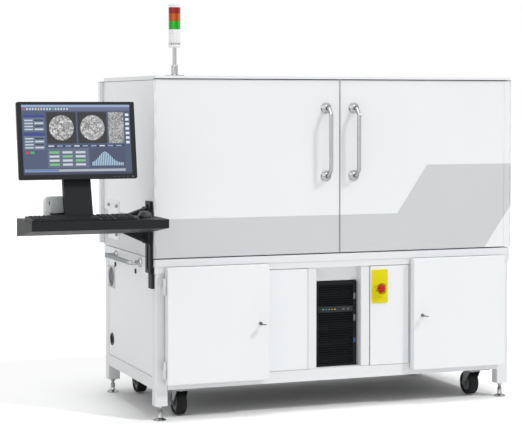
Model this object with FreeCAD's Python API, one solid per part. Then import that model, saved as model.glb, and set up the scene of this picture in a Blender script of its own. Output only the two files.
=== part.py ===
import FreeCAD, Part
import math
import os

# X-ray microscope: a shielded cabinet on a tube frame, with a console on its left side.
# Working frame in millimetres: X to the right, Y to the rear, Z up. X is 0 at the middle of the cabinet,
# Y is 0 at the front face of the upper doors and Z is 0 at the floor. The finished shapes are moved so that
# the origin is at the middle of the whole machine's footprint.

# Cabinet
CABINET_WIDTH = 2000.0
CABINET_DEPTH = 944.0
ENCLOSURE_HEIGHT = 898.0
SHELL_WALL = 30.0
JAMB_WIDTH = 50.0
PLINTH_INSET = 20.0
REAR_WINDOW_MARGIN = 240.0
RIGHT_WINDOW_MARGIN = 164.0
WINDOW_RIM = 140.0
SERVICE_PORT_RADIUS = 45.0
ROOF_THICKNESS = 13.0
ROOF_OVERHANG = 6.0
COVER_THICKNESS = 20.0
REAR_COVER_DEPTH = 42.0
COVER_INSET = 8.0
COVER_SHEET = 4.0
COVER_EDGE_GAP = 6.0
COVER_CORNER = 5.0

# Base frame
LEG_WIDTH = 65.0
LEG_DEPTH = 60.0
LEG_INSET = 4.0
LEG_BOTTOM = 75.0
LEG_TOP = 740.0
TUBE_WALL = 3.0
TUBE_CORNER = 6.0
FRAME_FRONT = 8.0
BEAM_BOTTOM = 155.0
BEAM_HEIGHT = 60.0
TOP_RAIL_HEIGHT = 34.0
DECK_HEIGHT = 36.0
DECK_SHEET = 3.0
PANEL_SHEET = 3.0
SEAM = 4.0
JOINT_GAP = 3.0
PLUG_DEPTH = 15.0
SIDE_SHEET_INSET = 4.0
LUG_HEIGHT = 20.0
LUG_MARGIN = 8.0
BAY_HALF_WIDTH = 125.0
BAY_POST_WIDTH = 50.0
FIXED_PANEL_WIDTH = 225.0
FIXED_PANEL_FRONT = 4.0
FIXED_PANEL_FLANGE = 22.0
DOOR_POST_WIDTH = 25.0
DOOR_POST_DEPTH = 18.0
BAY_FILLER_FRONT = 53.0
BAY_FILLER_GAP = 3.0
REAR_SHEET_INSET = 6.0
LOUVRE_LENGTH = 120.0
LOUVRE_HEIGHT = 6.0
LOUVRE_PITCH = 16.0
LOUVRE_ROWS = 8
LOUVRE_COLUMN_PITCH = 150.0
VENT_LENGTH = 240.0
VENT_HEIGHT = 8.0
VENT_PITCH = 24.0
VENT_ROWS = 8
VENT_CENTRE = 560.0
VENT_LEVEL = 330.0
LOUVRE_LEVEL = 560.0

# Upper doors
DOOR_THICKNESS = 35.0
DOOR_SEAL_GAP = 3.0
DOOR_MEET_GAP = 3.0
DOOR_END_GAP = 2.0
DOOR_CORNER = 3.0
DOOR_SIDE_GAP = 3.5
KNUCKLE_COUNT = 15
KNUCKLE_RADIUS = 4.0
KNUCKLE_GAP = 0.6
HINGE_PIN_RADIUS = 2.0
HINGE_LEAF = 2.0
HINGE_STRIP_WIDTH = 37.0
HINGE_SIDE_LEAF = 60.0
RUNNING_GAP = 0.05

# Door handles
HANDLE_OFFSET = 78.0
HANDLE_HIGH = 1563.0
HANDLE_SPACING = 349.0
HANDLE_REACH = 70.0
HANDLE_BAR_RADIUS = 10.0
HANDLE_SETBACK = 34.0
HANDLE_BEND = 20.0
FLANGE_RADIUS = 28.0
FLANGE_HEIGHT = 14.0

# Lower doors
LOWER_DOOR_OUTER = 947.0
LOWER_DOOR_INNER = 407.0
LOWER_DOOR_BOTTOM = 186.0
LOWER_DOOR_TOP = 771.0
LOWER_DOOR_DEPTH = 45.0
LOWER_DOOR_SHEET = 2.0
BARREL_RADIUS = 7.5
BARREL_PIN_RADIUS = 3.0
BARREL_LENGTH = 42.0
BARREL_GAP = 0.4
BARREL_CENTRES = (259.0, 676.0)
BARREL_OFFSET = 8.5
LOCK_OFFSET = 48.0
LOCK_HEIGHT = 473.0
LOCK_RADIUS = 10.0
LOCK_CAM_REACH = 65.0
LOCK_FACE = 6.0
KEY_BLADE = 24.0
KEY_BOW_RADIUS = 16.0

# Grab bars
GRAB_FRONT = 244.0
GRAB_REAR_MARGIN = 248.0
GRAB_DROP = 34.0
GRAB_REACH = 55.0
GRAB_RADIUS = 11.5
GRAB_BEND = 26.0
ROSETTE_RADIUS = 24.0

# Left side openings
FAN_REAR_MARGIN = 130.0
FAN_Z = 647.0
FAN_SIZE = 120.0
FAN_DEPTH = 25.0
FAN_BORE_RADIUS = 56.0
FAN_BLADES = 7
PORT_REAR_MARGIN = 133.0
PORT_Z = 307.0
PORT_RADIUS = 30.0
LATCH_FRONT = 354.0
LATCH_REAR_MARGIN = 208.0
LATCH_HEIGHT = 24.0
LATCH_DROP = 7.0
PORT_COVER_SIZE = 210.0
PORT_COVER_LEVEL = 858.0
PORT_COVER_REAR_MARGIN = 94.0
PORT_COVER_SHEET = 3.0
PORT_COVER_CORNER = 8.0
THUMB_SCREW_INSET = 29.0
THUMB_SCREW_RADIUS = 9.0

# Emergency stop
STOP_X = 230.0
STOP_Z = 620.0
STOP_PLATE_WIDTH = 90.0
STOP_PLATE_HEIGHT = 175.0
STOP_PLATE_CENTRE_Z = 629.5
STOP_BUTTON_RADIUS = 20.0
STOP_STEM_RADIUS = 11.0
STOP_GUARD_RADIUS = 34.0
STOP_GUARD_HEIGHT = 28.0
STOP_HEAD_HEIGHT = 36.0
STOP_TRAVEL = 5.0

# Casters and feet
CASTER_INSET = 168.0
CASTER_FRONT_Y = 104.0
CASTER_REAR_MARGIN = 149.0
CASTER_PLATE_HALF = 60.0
CASTER_PLATE_SHEET = 6.0
RACEWAY_DROP = 15.5
FORK_CLEARANCE = 3.0
FORK_SHEET = 4.0
CASTER_TRAIL = 35.0
WHEEL_RADIUS = 62.5
WHEEL_WIDTH = 54.0
WHEEL_LIFT = 5.0
AXLE_RADIUS = 6.0
KING_PIN_RADIUS = 10.0
FOOT_RADIUS = 31.0
FOOT_STEM_RADIUS = 8.0
FOOT_HEX_RADIUS = 13.0

# Computer
COMPUTER_LEFT = -111.0
COMPUTER_WIDTH = 226.0
COMPUTER_HEIGHT = 444.0
COMPUTER_FRONT = 40.0
COMPUTER_DEPTH = 470.0
BEZEL_DEPTH = 22.0
BEZEL_RIBS = 34
BEZEL_LEFT = 9.0
BEZEL_CHEEK = 22.0
STRIP_LEVEL = 281.0
STRIP_HEIGHT = 34.0

# Beacon
BEACON_X = -860.0
BEACON_Y = 110.0
BEACON_RADIUS = 30.0
BEACON_FLANGE_RADIUS = 48.0
BEACON_COLLAR_HEIGHT = 54.0
BEACON_POLE_RADIUS = 9.5
BEACON_POLE_HEIGHT = 89.0
BEACON_BASE_HEIGHT = 91.0
LENS_HEIGHTS = (40.5, 39.5, 30.5)
BEACON_CAP_HEIGHT = 19.0

# Console
WALL_RAIL_THICKNESS = 16.0
WALL_RAIL_FRONT = 25.0
WALL_RAIL_WIDTH = 88.0
WALL_RAIL_BOTTOM = 738.0
WALL_RAIL_TOP = 1099.0
STRUT_BOTTOM = 664.0
ARM_BOTTOM = 888.0
ARM_HEIGHT = 182.0
ARM_TIP_HEIGHT = 56.0
ARM_TAPER_LENGTH = 170.0
ARM_LENGTH = 520.0
ARM_WIDTH = 50.0
TRAY_GAP = 26.0
TRAY_WIDTH = 667.0
TRAY_DEPTH = 320.0
TRAY_TOP = 1035.0
TRAY_FRONT_HEIGHT = 42.0
TRAY_REAR_HEIGHT = 87.0
TRAY_SHEET = 4.0
KEYBOARD_INSET = 3.0
KEYBOARD_DEPTH = 150.0
KEYBOARD_FRONT = -312.0
KEY_PITCH = 19.0
KEY_GAP = 3.0
KEY_HEIGHT = 7.0
KEY_TAPER = 2.0
MOUSE_EDGE = 64.0
MOUSE_GAP = 26.0
MOUSE_Y = -232.0
MOUSE_LENGTH = 112.0
MOUSE_WIDTH = 64.0
MOUSE_HEIGHT = 38.0
MOUSE_WAIST = 10.0
POD_INSET = 127.0
POD_WIDTH = 126.0
POD_FRONT = -64.0
POD_DEPTH = 54.0
POD_HEIGHT = 104.0
COLUMN_INSET = 270.0
COLUMN_WIDTH = 135.0
COLUMN_THICKNESS = 26.0
COLUMN_FOOT_GAP = 4.0
COLUMN_FOOT_DEPTH = 92.0
COLUMN_FOOT_WIDTH = 220.0
TILT_AXIS_DEPTH = 50.0
TILT_AXIS_HEIGHT = 176.0
MONITOR_WIDTH = 580.0
MONITOR_HEIGHT = 374.0
MONITOR_THICKNESS = 34.0
MONITOR_TILT = 9.3
MONITOR_BOTTOM_Y = -150.0
MONITOR_BOTTOM_Z = 1226.0
BEZEL_SIDE = 23.0
BEZEL_TOP = 14.0
BEZEL_CHIN = 22.0
SCREEN_RECESS = 3.0
TILT_PIN_RADIUS = 6.0

# Inside the chamber
BEAM_AXIS_OFFSET = 23.0
BEAM_AXIS_Z = 1330.0
ISOLATOR_HEIGHT = 48.0
ISOLATOR_RADIUS = 46.0
GRANITE_LENGTH = 1640.0
GRANITE_DEPTH = 530.0
GRANITE_HEIGHT = 120.0
GUIDE_SPACING = 230.0
GUIDE_LENGTH = 1560.0
GUIDE_WIDTH = 28.0
GUIDE_HEIGHT = 24.0
SLIDE_GAP = 0.05
SADDLE_THICKNESS = 22.0
SADDLE_RISE = 10.0
SADDLE_LENGTH = 230.0
STAGE_SADDLE_LENGTH = 220.0
SADDLE_WIDTH = 330.0
BLOCK_LENGTH = 60.0
BLOCK_WIDTH = 60.0
CROSS_GUIDE_SPACING = 124.0
CROSS_GUIDE_WIDTH = 22.0
CROSS_GUIDE_LENGTH = 300.0
CROSS_GUIDE_HEIGHT = 14.0
CROSS_PLATE = 28.0
CROSS_PLATE_WIDTH = 176.0
CROSS_PLATE_FRONT = 95.0
CROSS_PLATE_TAIL = 50.0
TOWER_WIDTH = 100.0
TOWER_FOOT = 46.0
TOWER_HEAD = 26.0
TOWER_DROP = 60.0
CRADLE_LENGTH = 300.0
ISOLATOR_END_INSET = 160.0
ISOLATOR_SIDE_INSET = 90.0
LIFT_GUIDE_SPACING = 60.0
LIFT_GUIDE_WIDTH = 16.0
SOURCE_X = -420.0
STAGE_X = 0.0
LIFT_FACE = 52.0
LIFT_PLATE = 20.0
LIFT_HEIGHT = 76.0
DETECTOR_X = 480.0
TUBE_RADIUS = 70.0
TUBE_BODY_LENGTH = 330.0
TUBE_NOSE_LENGTH = 120.0
TUBE_RIBS = 4
TUBE_NOSE_RADIUS = 22.0
TURRET_RADIUS = 125.0
TURRET_PITCH_RADIUS = 85.0
TURRET_THICKNESS = 28.0
TURRET_FACE_X = 330.0
OBJECTIVE_LENGTHS = (100.0, 84.0, 70.0, 58.0)
OBJECTIVE_RADII = (30.0, 26.0, 23.0, 34.0)

# Derived levels and faces
HALF = CABINET_WIDTH / 2
BEAM_TOP = BEAM_BOTTOM + BEAM_HEIGHT
DECK_BOTTOM = LEG_TOP + TOP_RAIL_HEIGHT
DECK_TOP = DECK_BOTTOM + DECK_HEIGHT
SHELL_BOTTOM = DECK_TOP + SEAM
SHELL_TOP = SHELL_BOTTOM + ENCLOSURE_HEIGHT
SHELL_FRONT = DOOR_THICKNESS + DOOR_SEAL_GAP
CHAMBER_BOTTOM = SHELL_BOTTOM + SHELL_WALL
CHAMBER_TOP = SHELL_TOP - SHELL_WALL
ROOF_TOP = SHELL_TOP + ROOF_THICKNESS
DOOR_BOTTOM = SHELL_BOTTOM + DOOR_END_GAP
DOOR_TOP = SHELL_TOP - DOOR_END_GAP
LEG_OUTER = HALF - LEG_INSET
LEG_INNER = LEG_OUTER - LEG_WIDTH
LEG_REAR = FRAME_FRONT + LEG_DEPTH
REAR_FRAME_BACK = CABINET_DEPTH - FRAME_FRONT
REAR_FRAME_FRONT = REAR_FRAME_BACK - LEG_DEPTH
LEG_CENTRE_X = (LEG_OUTER + LEG_INNER) / 2
SIDE_SHEET_FACE = LEG_OUTER - SIDE_SHEET_INSET
HINGE_X = HALF + 1.0
BARREL_X = LOWER_DOOR_OUTER + BARREL_OFFSET
BARREL_Y = -LOWER_DOOR_DEPTH / 2 + 1.0
FLOOR_TOP = BEAM_TOP + PANEL_SHEET
FIXED_PANEL_NEAR = BAY_HALF_WIDTH + BAY_POST_WIDTH
FIXED_PANEL_FAR = FIXED_PANEL_NEAR + FIXED_PANEL_WIDTH
FIXED_PANEL_BACK = FIXED_PANEL_FRONT + FIXED_PANEL_FLANGE
GRAB_REAR = CABINET_DEPTH - GRAB_REAR_MARGIN
GRAB_HEIGHT = DECK_TOP - GRAB_DROP
FAN_Y = CABINET_DEPTH - FAN_REAR_MARGIN
PORT_Y = CABINET_DEPTH - PORT_REAR_MARGIN
LATCH_YS = (LATCH_FRONT, CABINET_DEPTH - LATCH_REAR_MARGIN)
CASTER_X = HALF - CASTER_INSET
CASTER_REAR_Y = CABINET_DEPTH - CASTER_REAR_MARGIN
TRAY_RIGHT = -(HALF + TRAY_GAP)
TRAY_LEFT = TRAY_RIGHT - TRAY_WIDTH
KEYBOARD_LEFT = TRAY_LEFT + KEYBOARD_INSET
KEYBOARD_WIDTH = TRAY_WIDTH - KEYBOARD_INSET - MOUSE_GAP - MOUSE_WIDTH - MOUSE_EDGE
MOUSE_X = TRAY_RIGHT - MOUSE_EDGE - MOUSE_WIDTH / 2
POD_LEFT = TRAY_LEFT + POD_INSET
COLUMN_X = TRAY_LEFT + COLUMN_INSET
BEAM_AXIS_Y = CABINET_DEPTH / 2 + BEAM_AXIS_OFFSET
GRANITE_BOTTOM = CHAMBER_BOTTOM + ISOLATOR_HEIGHT
GRANITE_TOP = GRANITE_BOTTOM + GRANITE_HEIGHT
GUIDE_TOP = GRANITE_TOP + GUIDE_HEIGHT
SADDLE_BOTTOM = GUIDE_TOP + SADDLE_RISE
SADDLE_TOP = SADDLE_BOTTOM + SADDLE_THICKNESS
WHEEL_AXIS_Z = WHEEL_RADIUS + WHEEL_LIFT
TILT = math.radians(MONITOR_TILT)
WALL_RAIL_BACK = WALL_RAIL_FRONT + WALL_RAIL_WIDTH
WALL_RAIL_FACE = HALF + WALL_RAIL_THICKNESS


def vec(x, y, z):
    return FreeCAD.Vector(x, y, z)


UP = vec(0, 0, 1)
ALONG_X = vec(1, 0, 0)
ALONG_Y = vec(0, 1, 0)


def box(x0, x1, y0, y1, z0, z1):
    corner = vec(min(x0, x1), min(y0, y1), min(z0, z1))
    return Part.makeBox(abs(x1 - x0), abs(y1 - y0), abs(z1 - z0), corner)


def rod(x, y, z, radius, length, axis=UP):
    return Part.makeCylinder(radius, length, vec(x, y, z), axis)


def ring(x, y, z, outer, inner, length, axis=UP):
    overshoot = axis * 1.0
    bore = Part.makeCylinder(inner, length + 2.0, vec(x, y, z) - overshoot, axis)
    return rod(x, y, z, outer, length, axis).cut(bore)


def turned(points, centre, axis=UP):
    """Solid of revolution from (radius, height) points, turned about an axis through centre."""
    outline = [vec(radius, 0, height) for radius, height in points]
    face = Part.Face(Part.makePolygon(outline + outline[:1]))
    solid = face.revolve(vec(0, 0, 0), UP, 360)
    turn = FreeCAD.Rotation(UP, axis)
    solid.Placement = FreeCAD.Placement(centre, turn)
    return solid


def prism(points, direction):
    """Closed polygon of 3-D points pushed along a direction."""
    corners = [vec(*point) for point in points]
    return Part.Face(Part.makePolygon(corners + corners[:1])).extrude(direction)


def rounded_profile(x0, x1, y0, y1, z, radius):
    """Flat rounded rectangle at height z."""
    k = radius * (1 - math.sqrt(0.5))
    corners = [(x1 - radius, y0, x1 - k, y0 + k, x1, y0 + radius),
               (x1, y1 - radius, x1 - k, y1 - k, x1 - radius, y1),
               (x0 + radius, y1, x0 + k, y1 - k, x0, y1 - radius),
               (x0, y0 + radius, x0 + k, y0 + k, x0 + radius, y0)]
    edges = []
    for i, (ax, ay, mx, my, bx, by) in enumerate(corners):
        edges.append(Part.Arc(vec(ax, ay, z), vec(mx, my, z), vec(bx, by, z)).toShape())
        next_corner = corners[(i + 1) % 4]
        edges.append(Part.LineSegment(vec(bx, by, z), vec(next_corner[0], next_corner[1], z)).toShape())
    return Part.Wire(edges)


def cut_profile(x0, x1, y0, y1, z, cut):
    """Flat rectangle with cut corners at height z."""
    corners = [(x0 + cut, y0), (x1 - cut, y0), (x1, y0 + cut), (x1, y1 - cut),
               (x1 - cut, y1), (x0 + cut, y1), (x0, y1 - cut), (x0, y0 + cut)]
    outline = [vec(x, y, z) for x, y in corners]
    return Part.makePolygon(outline + outline[:1])


def rounded_block(x0, x1, y0, y1, z0, z1, radius):
    """Block with its four upright edges rounded."""
    profile = rounded_profile(min(x0, x1), max(x0, x1), y0, y1, z0, radius)
    return Part.Face(profile).extrude(vec(0, 0, z1 - z0))


def bent_tube(points, bend, radius):
    """Round bar along straight runs joined by tangent arcs of one bend radius."""
    corners = [vec(*point) for point in points]
    edges = []
    start = corners[0]
    for before, corner, after in zip(corners, corners[1:], corners[2:]):
        into = (before - corner).normalize()
        out = (after - corner).normalize()
        half_turn = into.getAngle(out) / 2
        setback = bend / math.tan(half_turn)
        first = corner + into * setback
        last = corner + out * setback
        bisector = (into + out).normalize()
        middle = corner + bisector * (bend / math.sin(half_turn) - bend)
        edges.append(Part.LineSegment(start, first).toShape())
        edges.append(Part.Arc(first, middle, last).toShape())
        start = last
    edges.append(Part.LineSegment(start, corners[-1]).toShape())
    section = Part.Wire(Part.makeCircle(radius, corners[0], (corners[1] - corners[0]).normalize()))
    return Part.Wire(edges).makePipeShell([section], True, False)


def fused(shapes):
    return shapes[0].multiFuse(shapes[1:]).removeSplitter() if len(shapes) > 1 else shapes[0]


def group(shapes):
    return Part.makeCompound(shapes)


def leg_tube(x0, x1, y0, y1, z0, z1):
    outer = rounded_block(x0, x1, y0, y1, z0, z1, TUBE_CORNER)
    low, high = sorted((x0, x1))
    return outer.cut(box(low + TUBE_WALL, high - TUBE_WALL, y0 + TUBE_WALL, y1 - TUBE_WALL, z0, z1))


def beam_x(x0, x1, y0, y1, z0, z1):
    outer = box(x0, x1, y0, y1, z0, z1)
    return outer.cut(box(x0, x1, y0 + TUBE_WALL, y1 - TUBE_WALL, z0 + TUBE_WALL, z1 - TUBE_WALL))


def beam_y(x0, x1, y0, y1, z0, z1):
    low, high = sorted((x0, x1))
    outer = box(low, high, y0, y1, z0, z1)
    return outer.cut(box(low + TUBE_WALL, high - TUBE_WALL, y0, y1, z0 + TUBE_WALL, z1 - TUBE_WALL))


def jointed_post(x0, x1, y0, y1, foot, head, foot_gap):
    """Upright tube with plugs in its ends, which keep a shadow gap to the rails."""
    low, high = sorted((x0, x1))
    wall = TUBE_WALL
    tube = leg_tube(low, high, y0, y1, foot + foot_gap, head - JOINT_GAP)
    parts = [tube, box(low + wall, high - wall, y0 + wall, y1 - wall, head - JOINT_GAP - PLUG_DEPTH, head)]
    if foot_gap:
        parts.append(box(low + wall, high - wall, y0 + wall, y1 - wall, foot, foot + foot_gap + PLUG_DEPTH))
    return fused(parts)


def base_frame():
    """Legs, bottom beams, top rails and the posts of the computer bay, as the tubes they are cut from."""
    tubes = []
    for side in (-1, 1):
        for y0, y1 in ((FRAME_FRONT, LEG_REAR), (REAR_FRAME_FRONT, REAR_FRAME_BACK)):
            leg = jointed_post(side * LEG_INNER, side * LEG_OUTER, y0, y1, LEG_BOTTOM, LEG_TOP, 0)
            cap_x = sorted((side * (LEG_INNER + TUBE_WALL), side * (LEG_OUTER - TUBE_WALL)))
            cap = box(cap_x[0], cap_x[1], y0 + TUBE_WALL, y1 - TUBE_WALL, LEG_BOTTOM, LEG_BOTTOM + 6)
            hole = rod(side * LEG_CENTRE_X, (y0 + y1) / 2, LEG_BOTTOM - 1, FOOT_STEM_RADIUS + RUNNING_GAP, 9)
            tubes.append(leg.fuse(cap).cut(hole))
        inner, outer = side * LEG_INNER, side * LEG_OUTER
        tubes.append(beam_y(inner, outer, LEG_REAR, REAR_FRAME_FRONT, BEAM_BOTTOM, BEAM_TOP))
        rail_outer = side * HALF
        tubes.append(beam_y(inner, rail_outer, LEG_REAR, REAR_FRAME_FRONT, LEG_TOP, DECK_BOTTOM))
        tubes.append(jointed_post(side * BAY_HALF_WIDTH, side * FIXED_PANEL_NEAR, FRAME_FRONT, LEG_REAR,
                                  BEAM_TOP, LEG_TOP, JOINT_GAP))
        tubes.append(jointed_post(side * FIXED_PANEL_FAR, side * (FIXED_PANEL_FAR + DOOR_POST_WIDTH),
                                  FRAME_FRONT, FRAME_FRONT + DOOR_POST_DEPTH, BEAM_TOP, LEG_TOP, JOINT_GAP))
    for y0, y1 in ((FRAME_FRONT, LEG_REAR), (REAR_FRAME_FRONT, REAR_FRAME_BACK)):
        tubes.append(beam_x(-LEG_INNER, LEG_INNER, y0, y1, BEAM_BOTTOM, BEAM_TOP))
        rail_front = FIXED_PANEL_FRONT if y0 == FRAME_FRONT else y0
        tubes.append(beam_x(-HALF, HALF, rail_front, y1, LEG_TOP, DECK_BOTTOM))
    return group(tubes)


def base_deck():
    """Pressed deck pan with a skirt all round and two stiffening ribs under it."""
    pan = rounded_block(-HALF, HALF, 0, CABINET_DEPTH, DECK_BOTTOM, DECK_TOP, TUBE_CORNER)
    sheet = DECK_SHEET
    hollow = box(-HALF + sheet, HALF - sheet, sheet, CABINET_DEPTH - sheet, DECK_BOTTOM, DECK_TOP - sheet)
    ribs = []
    for y in (CABINET_DEPTH / 3, CABINET_DEPTH * 2 / 3):
        ribs.append(box(-HALF + sheet, HALF - sheet, y - sheet, y + sheet, DECK_BOTTOM, DECK_TOP - sheet))
    return fused([pan.cut(hollow)] + ribs)


def base_panels():
    """Floor, side, rear, bay and fixed front sheets of the base."""
    sheet = PANEL_SHEET
    rear_face = REAR_FRAME_BACK - REAR_SHEET_INSET
    inside = SIDE_SHEET_FACE - sheet
    floor = box(-inside, inside, FRAME_FRONT + sheet, rear_face, BEAM_TOP, FLOOR_TOP)
    notches = []
    for side in (-1, 1):
        for y0, y1 in ((FRAME_FRONT, LEG_REAR), (REAR_FRAME_FRONT, REAR_FRAME_BACK)):
            notches.append(box(side * (LEG_INNER - 1), side * HALF, y0 - 1, y1 + 1, BEAM_TOP, FLOOR_TOP))
        notches.append(box(side * (BAY_HALF_WIDTH - 1), side * (FIXED_PANEL_NEAR + 1),
                           FRAME_FRONT, LEG_REAR + 1, BEAM_TOP, FLOOR_TOP))
        notches.append(box(side * (FIXED_PANEL_FAR - 1), side * (FIXED_PANEL_FAR + DOOR_POST_WIDTH + 1),
                           FRAME_FRONT, FRAME_FRONT + DOOR_POST_DEPTH + 1, BEAM_TOP, FLOOR_TOP))
    panels = [floor.cut(group(notches))]
    for side in (-1, 1):
        panels.append(side_sheet(side))
        bay_x = side * (BAY_HALF_WIDTH + sheet)
        panels.append(box(bay_x, bay_x - side * sheet, LEG_REAR, REAR_FRAME_FRONT - sheet,
                          FLOOR_TOP, LEG_TOP))
        panels.append(fixed_panel(side))
    rear = box(-LEG_INNER, LEG_INNER, rear_face - sheet, rear_face, FLOOR_TOP, LEG_TOP)
    panels.append(rear.cut(group(rear_vents())))
    panels.append(bay_filler())
    return group(panels)


def side_sheet(side):
    """Side sheet with a shadow gap all round, hung on lugs behind its upright edges."""
    sheet = PANEL_SHEET
    front, back = LEG_REAR + JOINT_GAP, REAR_FRAME_FRONT - JOINT_GAP
    low, high = BEAM_TOP + JOINT_GAP, LEG_TOP - JOINT_GAP
    face = side * SIDE_SHEET_FACE
    inside = side * (SIDE_SHEET_FACE - sheet)
    wall = box(inside, face, front, back, low, high)
    if side < 0:
        fan_hole = rod(-HALF, FAN_Y, FAN_Z, FAN_BORE_RADIUS, 2 * SHELL_WALL, ALONG_X)
        port_hole = rod(-HALF, PORT_Y, PORT_Z, PORT_RADIUS, 2 * SHELL_WALL, ALONG_X)
        wall = wall.cut(fan_hole).cut(port_hole)
    else:
        wall = wall.cut(group(louvre_slots(face)))
    lugs = []
    lug_face = side * (SIDE_SHEET_FACE - 2 * sheet)
    for level in (low + LUG_MARGIN, high - LUG_MARGIN - LUG_HEIGHT):
        for y0, y1 in ((LEG_REAR, front + PLUG_DEPTH), (back - PLUG_DEPTH, REAR_FRAME_FRONT)):
            lugs.append(box(lug_face, inside, y0, y1, level, level + LUG_HEIGHT))
    return fused([wall] + lugs)


def bay_filler():
    """Sheet that closes the bay round the computer's front."""
    sheet = PANEL_SHEET
    back = BAY_FILLER_FRONT + sheet
    plate = box(-BAY_HALF_WIDTH, BAY_HALF_WIDTH, BAY_FILLER_FRONT, back, FLOOR_TOP, LEG_TOP)
    gap = BAY_FILLER_GAP
    cutout = box(COMPUTER_LEFT - gap, COMPUTER_LEFT + COMPUTER_WIDTH + gap, BAY_FILLER_FRONT, back,
                 FLOOR_TOP, FLOOR_TOP + COMPUTER_HEIGHT + gap)
    return plate.cut(cutout)


def louvre_slots(face_x):
    """Two columns of ventilation slots through the right side sheet."""
    slots = []
    for column in range(2):
        y0 = CABINET_DEPTH / 2 + LOUVRE_COLUMN_PITCH * (column + 0.5)
        for row in range(LOUVRE_ROWS):
            z0 = LOUVRE_LEVEL + row * LOUVRE_PITCH
            slots.append(box(face_x - 6, face_x + 2, y0, y0 + LOUVRE_LENGTH, z0, z0 + LOUVRE_HEIGHT))
    return slots


def rear_vents():
    """Two fields of ventilation slots through the rear sheet."""
    slots = []
    back = REAR_FRAME_BACK
    for centre in (-VENT_CENTRE, VENT_CENTRE):
        for row in range(VENT_ROWS):
            z0 = VENT_LEVEL + row * VENT_PITCH
            slots.append(box(centre - VENT_LENGTH / 2, centre + VENT_LENGTH / 2, back - 12, back,
                             z0, z0 + VENT_HEIGHT))
    return slots


def fixed_panel(side):
    """Fixed front sheet beside the computer bay, with folded edges and lugs on the posts."""
    near, far = FIXED_PANEL_NEAR + JOINT_GAP, FIXED_PANEL_FAR - JOINT_GAP
    low, high = BEAM_TOP + JOINT_GAP, LEG_TOP - JOINT_GAP
    front, back = FIXED_PANEL_FRONT, FIXED_PANEL_BACK
    sheet = LOWER_DOOR_SHEET
    pan = box(side * near, side * far, front, back, low, high)
    hollow = box(side * (near + sheet), side * (far - sheet), front + sheet, back, low + sheet, high - sheet)
    pan = pan.cut(hollow)
    if side * STOP_X > 0:
        pan = pan.cut(rod(STOP_X, front - 1, STOP_Z, STOP_STEM_RADIUS + 2, FIXED_PANEL_FLANGE, ALONG_Y))
    lugs = []
    for level in (low + LUG_MARGIN, high - LUG_MARGIN - LUG_HEIGHT):
        for x0, x1 in ((FIXED_PANEL_NEAR, near + sheet), (far - sheet, FIXED_PANEL_FAR)):
            lugs.append(box(side * x0, side * x1, back - sheet, back, level, level + LUG_HEIGHT))
    return fused([pan] + lugs)


def grab_bar(side):
    """Bent chrome bar with a turned rosette at each end, on the deck's side."""
    face = side * HALF
    reach = side * (HALF + GRAB_REACH)
    bar = bent_tube([(face, GRAB_FRONT, GRAB_HEIGHT), (reach, GRAB_FRONT, GRAB_HEIGHT),
                     (reach, GRAB_REAR, GRAB_HEIGHT), (face, GRAB_REAR, GRAB_HEIGHT)],
                    GRAB_BEND, GRAB_RADIUS)
    rosettes = []
    for y in (GRAB_FRONT, GRAB_REAR):
        r = ROSETTE_RADIUS
        rosette = turned([(0, 0), (r, 0), (r, 4), (r - 8, 11), (0, 11)],
                         vec(face, y, GRAB_HEIGHT), ALONG_X * side)
        rosettes.append(rosette)
    return fused([bar] + rosettes)


def cable_port():
    """Moulded ring lining the cable hole in the left side sheet."""
    face = -SIDE_SHEET_FACE
    points = [(PORT_RADIUS - 6, -10), (PORT_RADIUS - RUNNING_GAP, -10), (PORT_RADIUS - RUNNING_GAP, 0),
              (PORT_RADIUS + 5, 0), (PORT_RADIUS + 3, 4), (PORT_RADIUS - 6, 4)]
    return turned(points, vec(face, PORT_Y, PORT_Z), ALONG_X * -1)


def fan_guard():
    """Fan frame behind the sheet and wire finger guard in front of it."""
    face = -SIDE_SHEET_FACE
    inside = face + PANEL_SHEET
    half = FAN_SIZE / 2
    frame = box(inside, inside + FAN_DEPTH, FAN_Y - half, FAN_Y + half, FAN_Z - half, FAN_Z + half)
    frame = frame.cut(rod(inside - 1, FAN_Y, FAN_Z, FAN_BORE_RADIUS + 1, FAN_DEPTH - 2, ALONG_X))
    for turn in range(4):
        angle = math.radians(45 + 90 * turn)
        y = FAN_Y + 38 * math.cos(angle)
        z = FAN_Z + 38 * math.sin(angle)
        frame = frame.cut(rod(inside, y, z, 15, FAN_DEPTH + 2, ALONG_X))
    stub = rod(inside + 8, FAN_Y, FAN_Z, 3.0, FAN_DEPTH - 9, ALONG_X)
    frame = frame.fuse(stub)
    wires = []
    for radius in (18.0, 30.0, 42.0, 54.0):
        wires.append(ring(face - 5, FAN_Y, FAN_Z, radius + 1.2, radius - 1.2, 2.5, ALONG_X))
    wires.append(rod(face - 5, FAN_Y, FAN_Z, 8, 2.5, ALONG_X))
    for turn in range(4):
        spoke = box(face - 4, face - 1.5, FAN_Y - 1.5, FAN_Y + 1.5, FAN_Z, FAN_Z + 57)
        spoke.rotate(vec(face, FAN_Y, FAN_Z), ALONG_X, 45 + 90 * turn)
        wires.append(spoke)
    rim = box(face - 4, face, FAN_Y - half, FAN_Y + half, FAN_Z - half, FAN_Z + half)
    wires.append(rim.cut(rod(face - 5, FAN_Y, FAN_Z, FAN_BORE_RADIUS, 8, ALONG_X)))
    return group([frame, fused(wires)])


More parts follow.
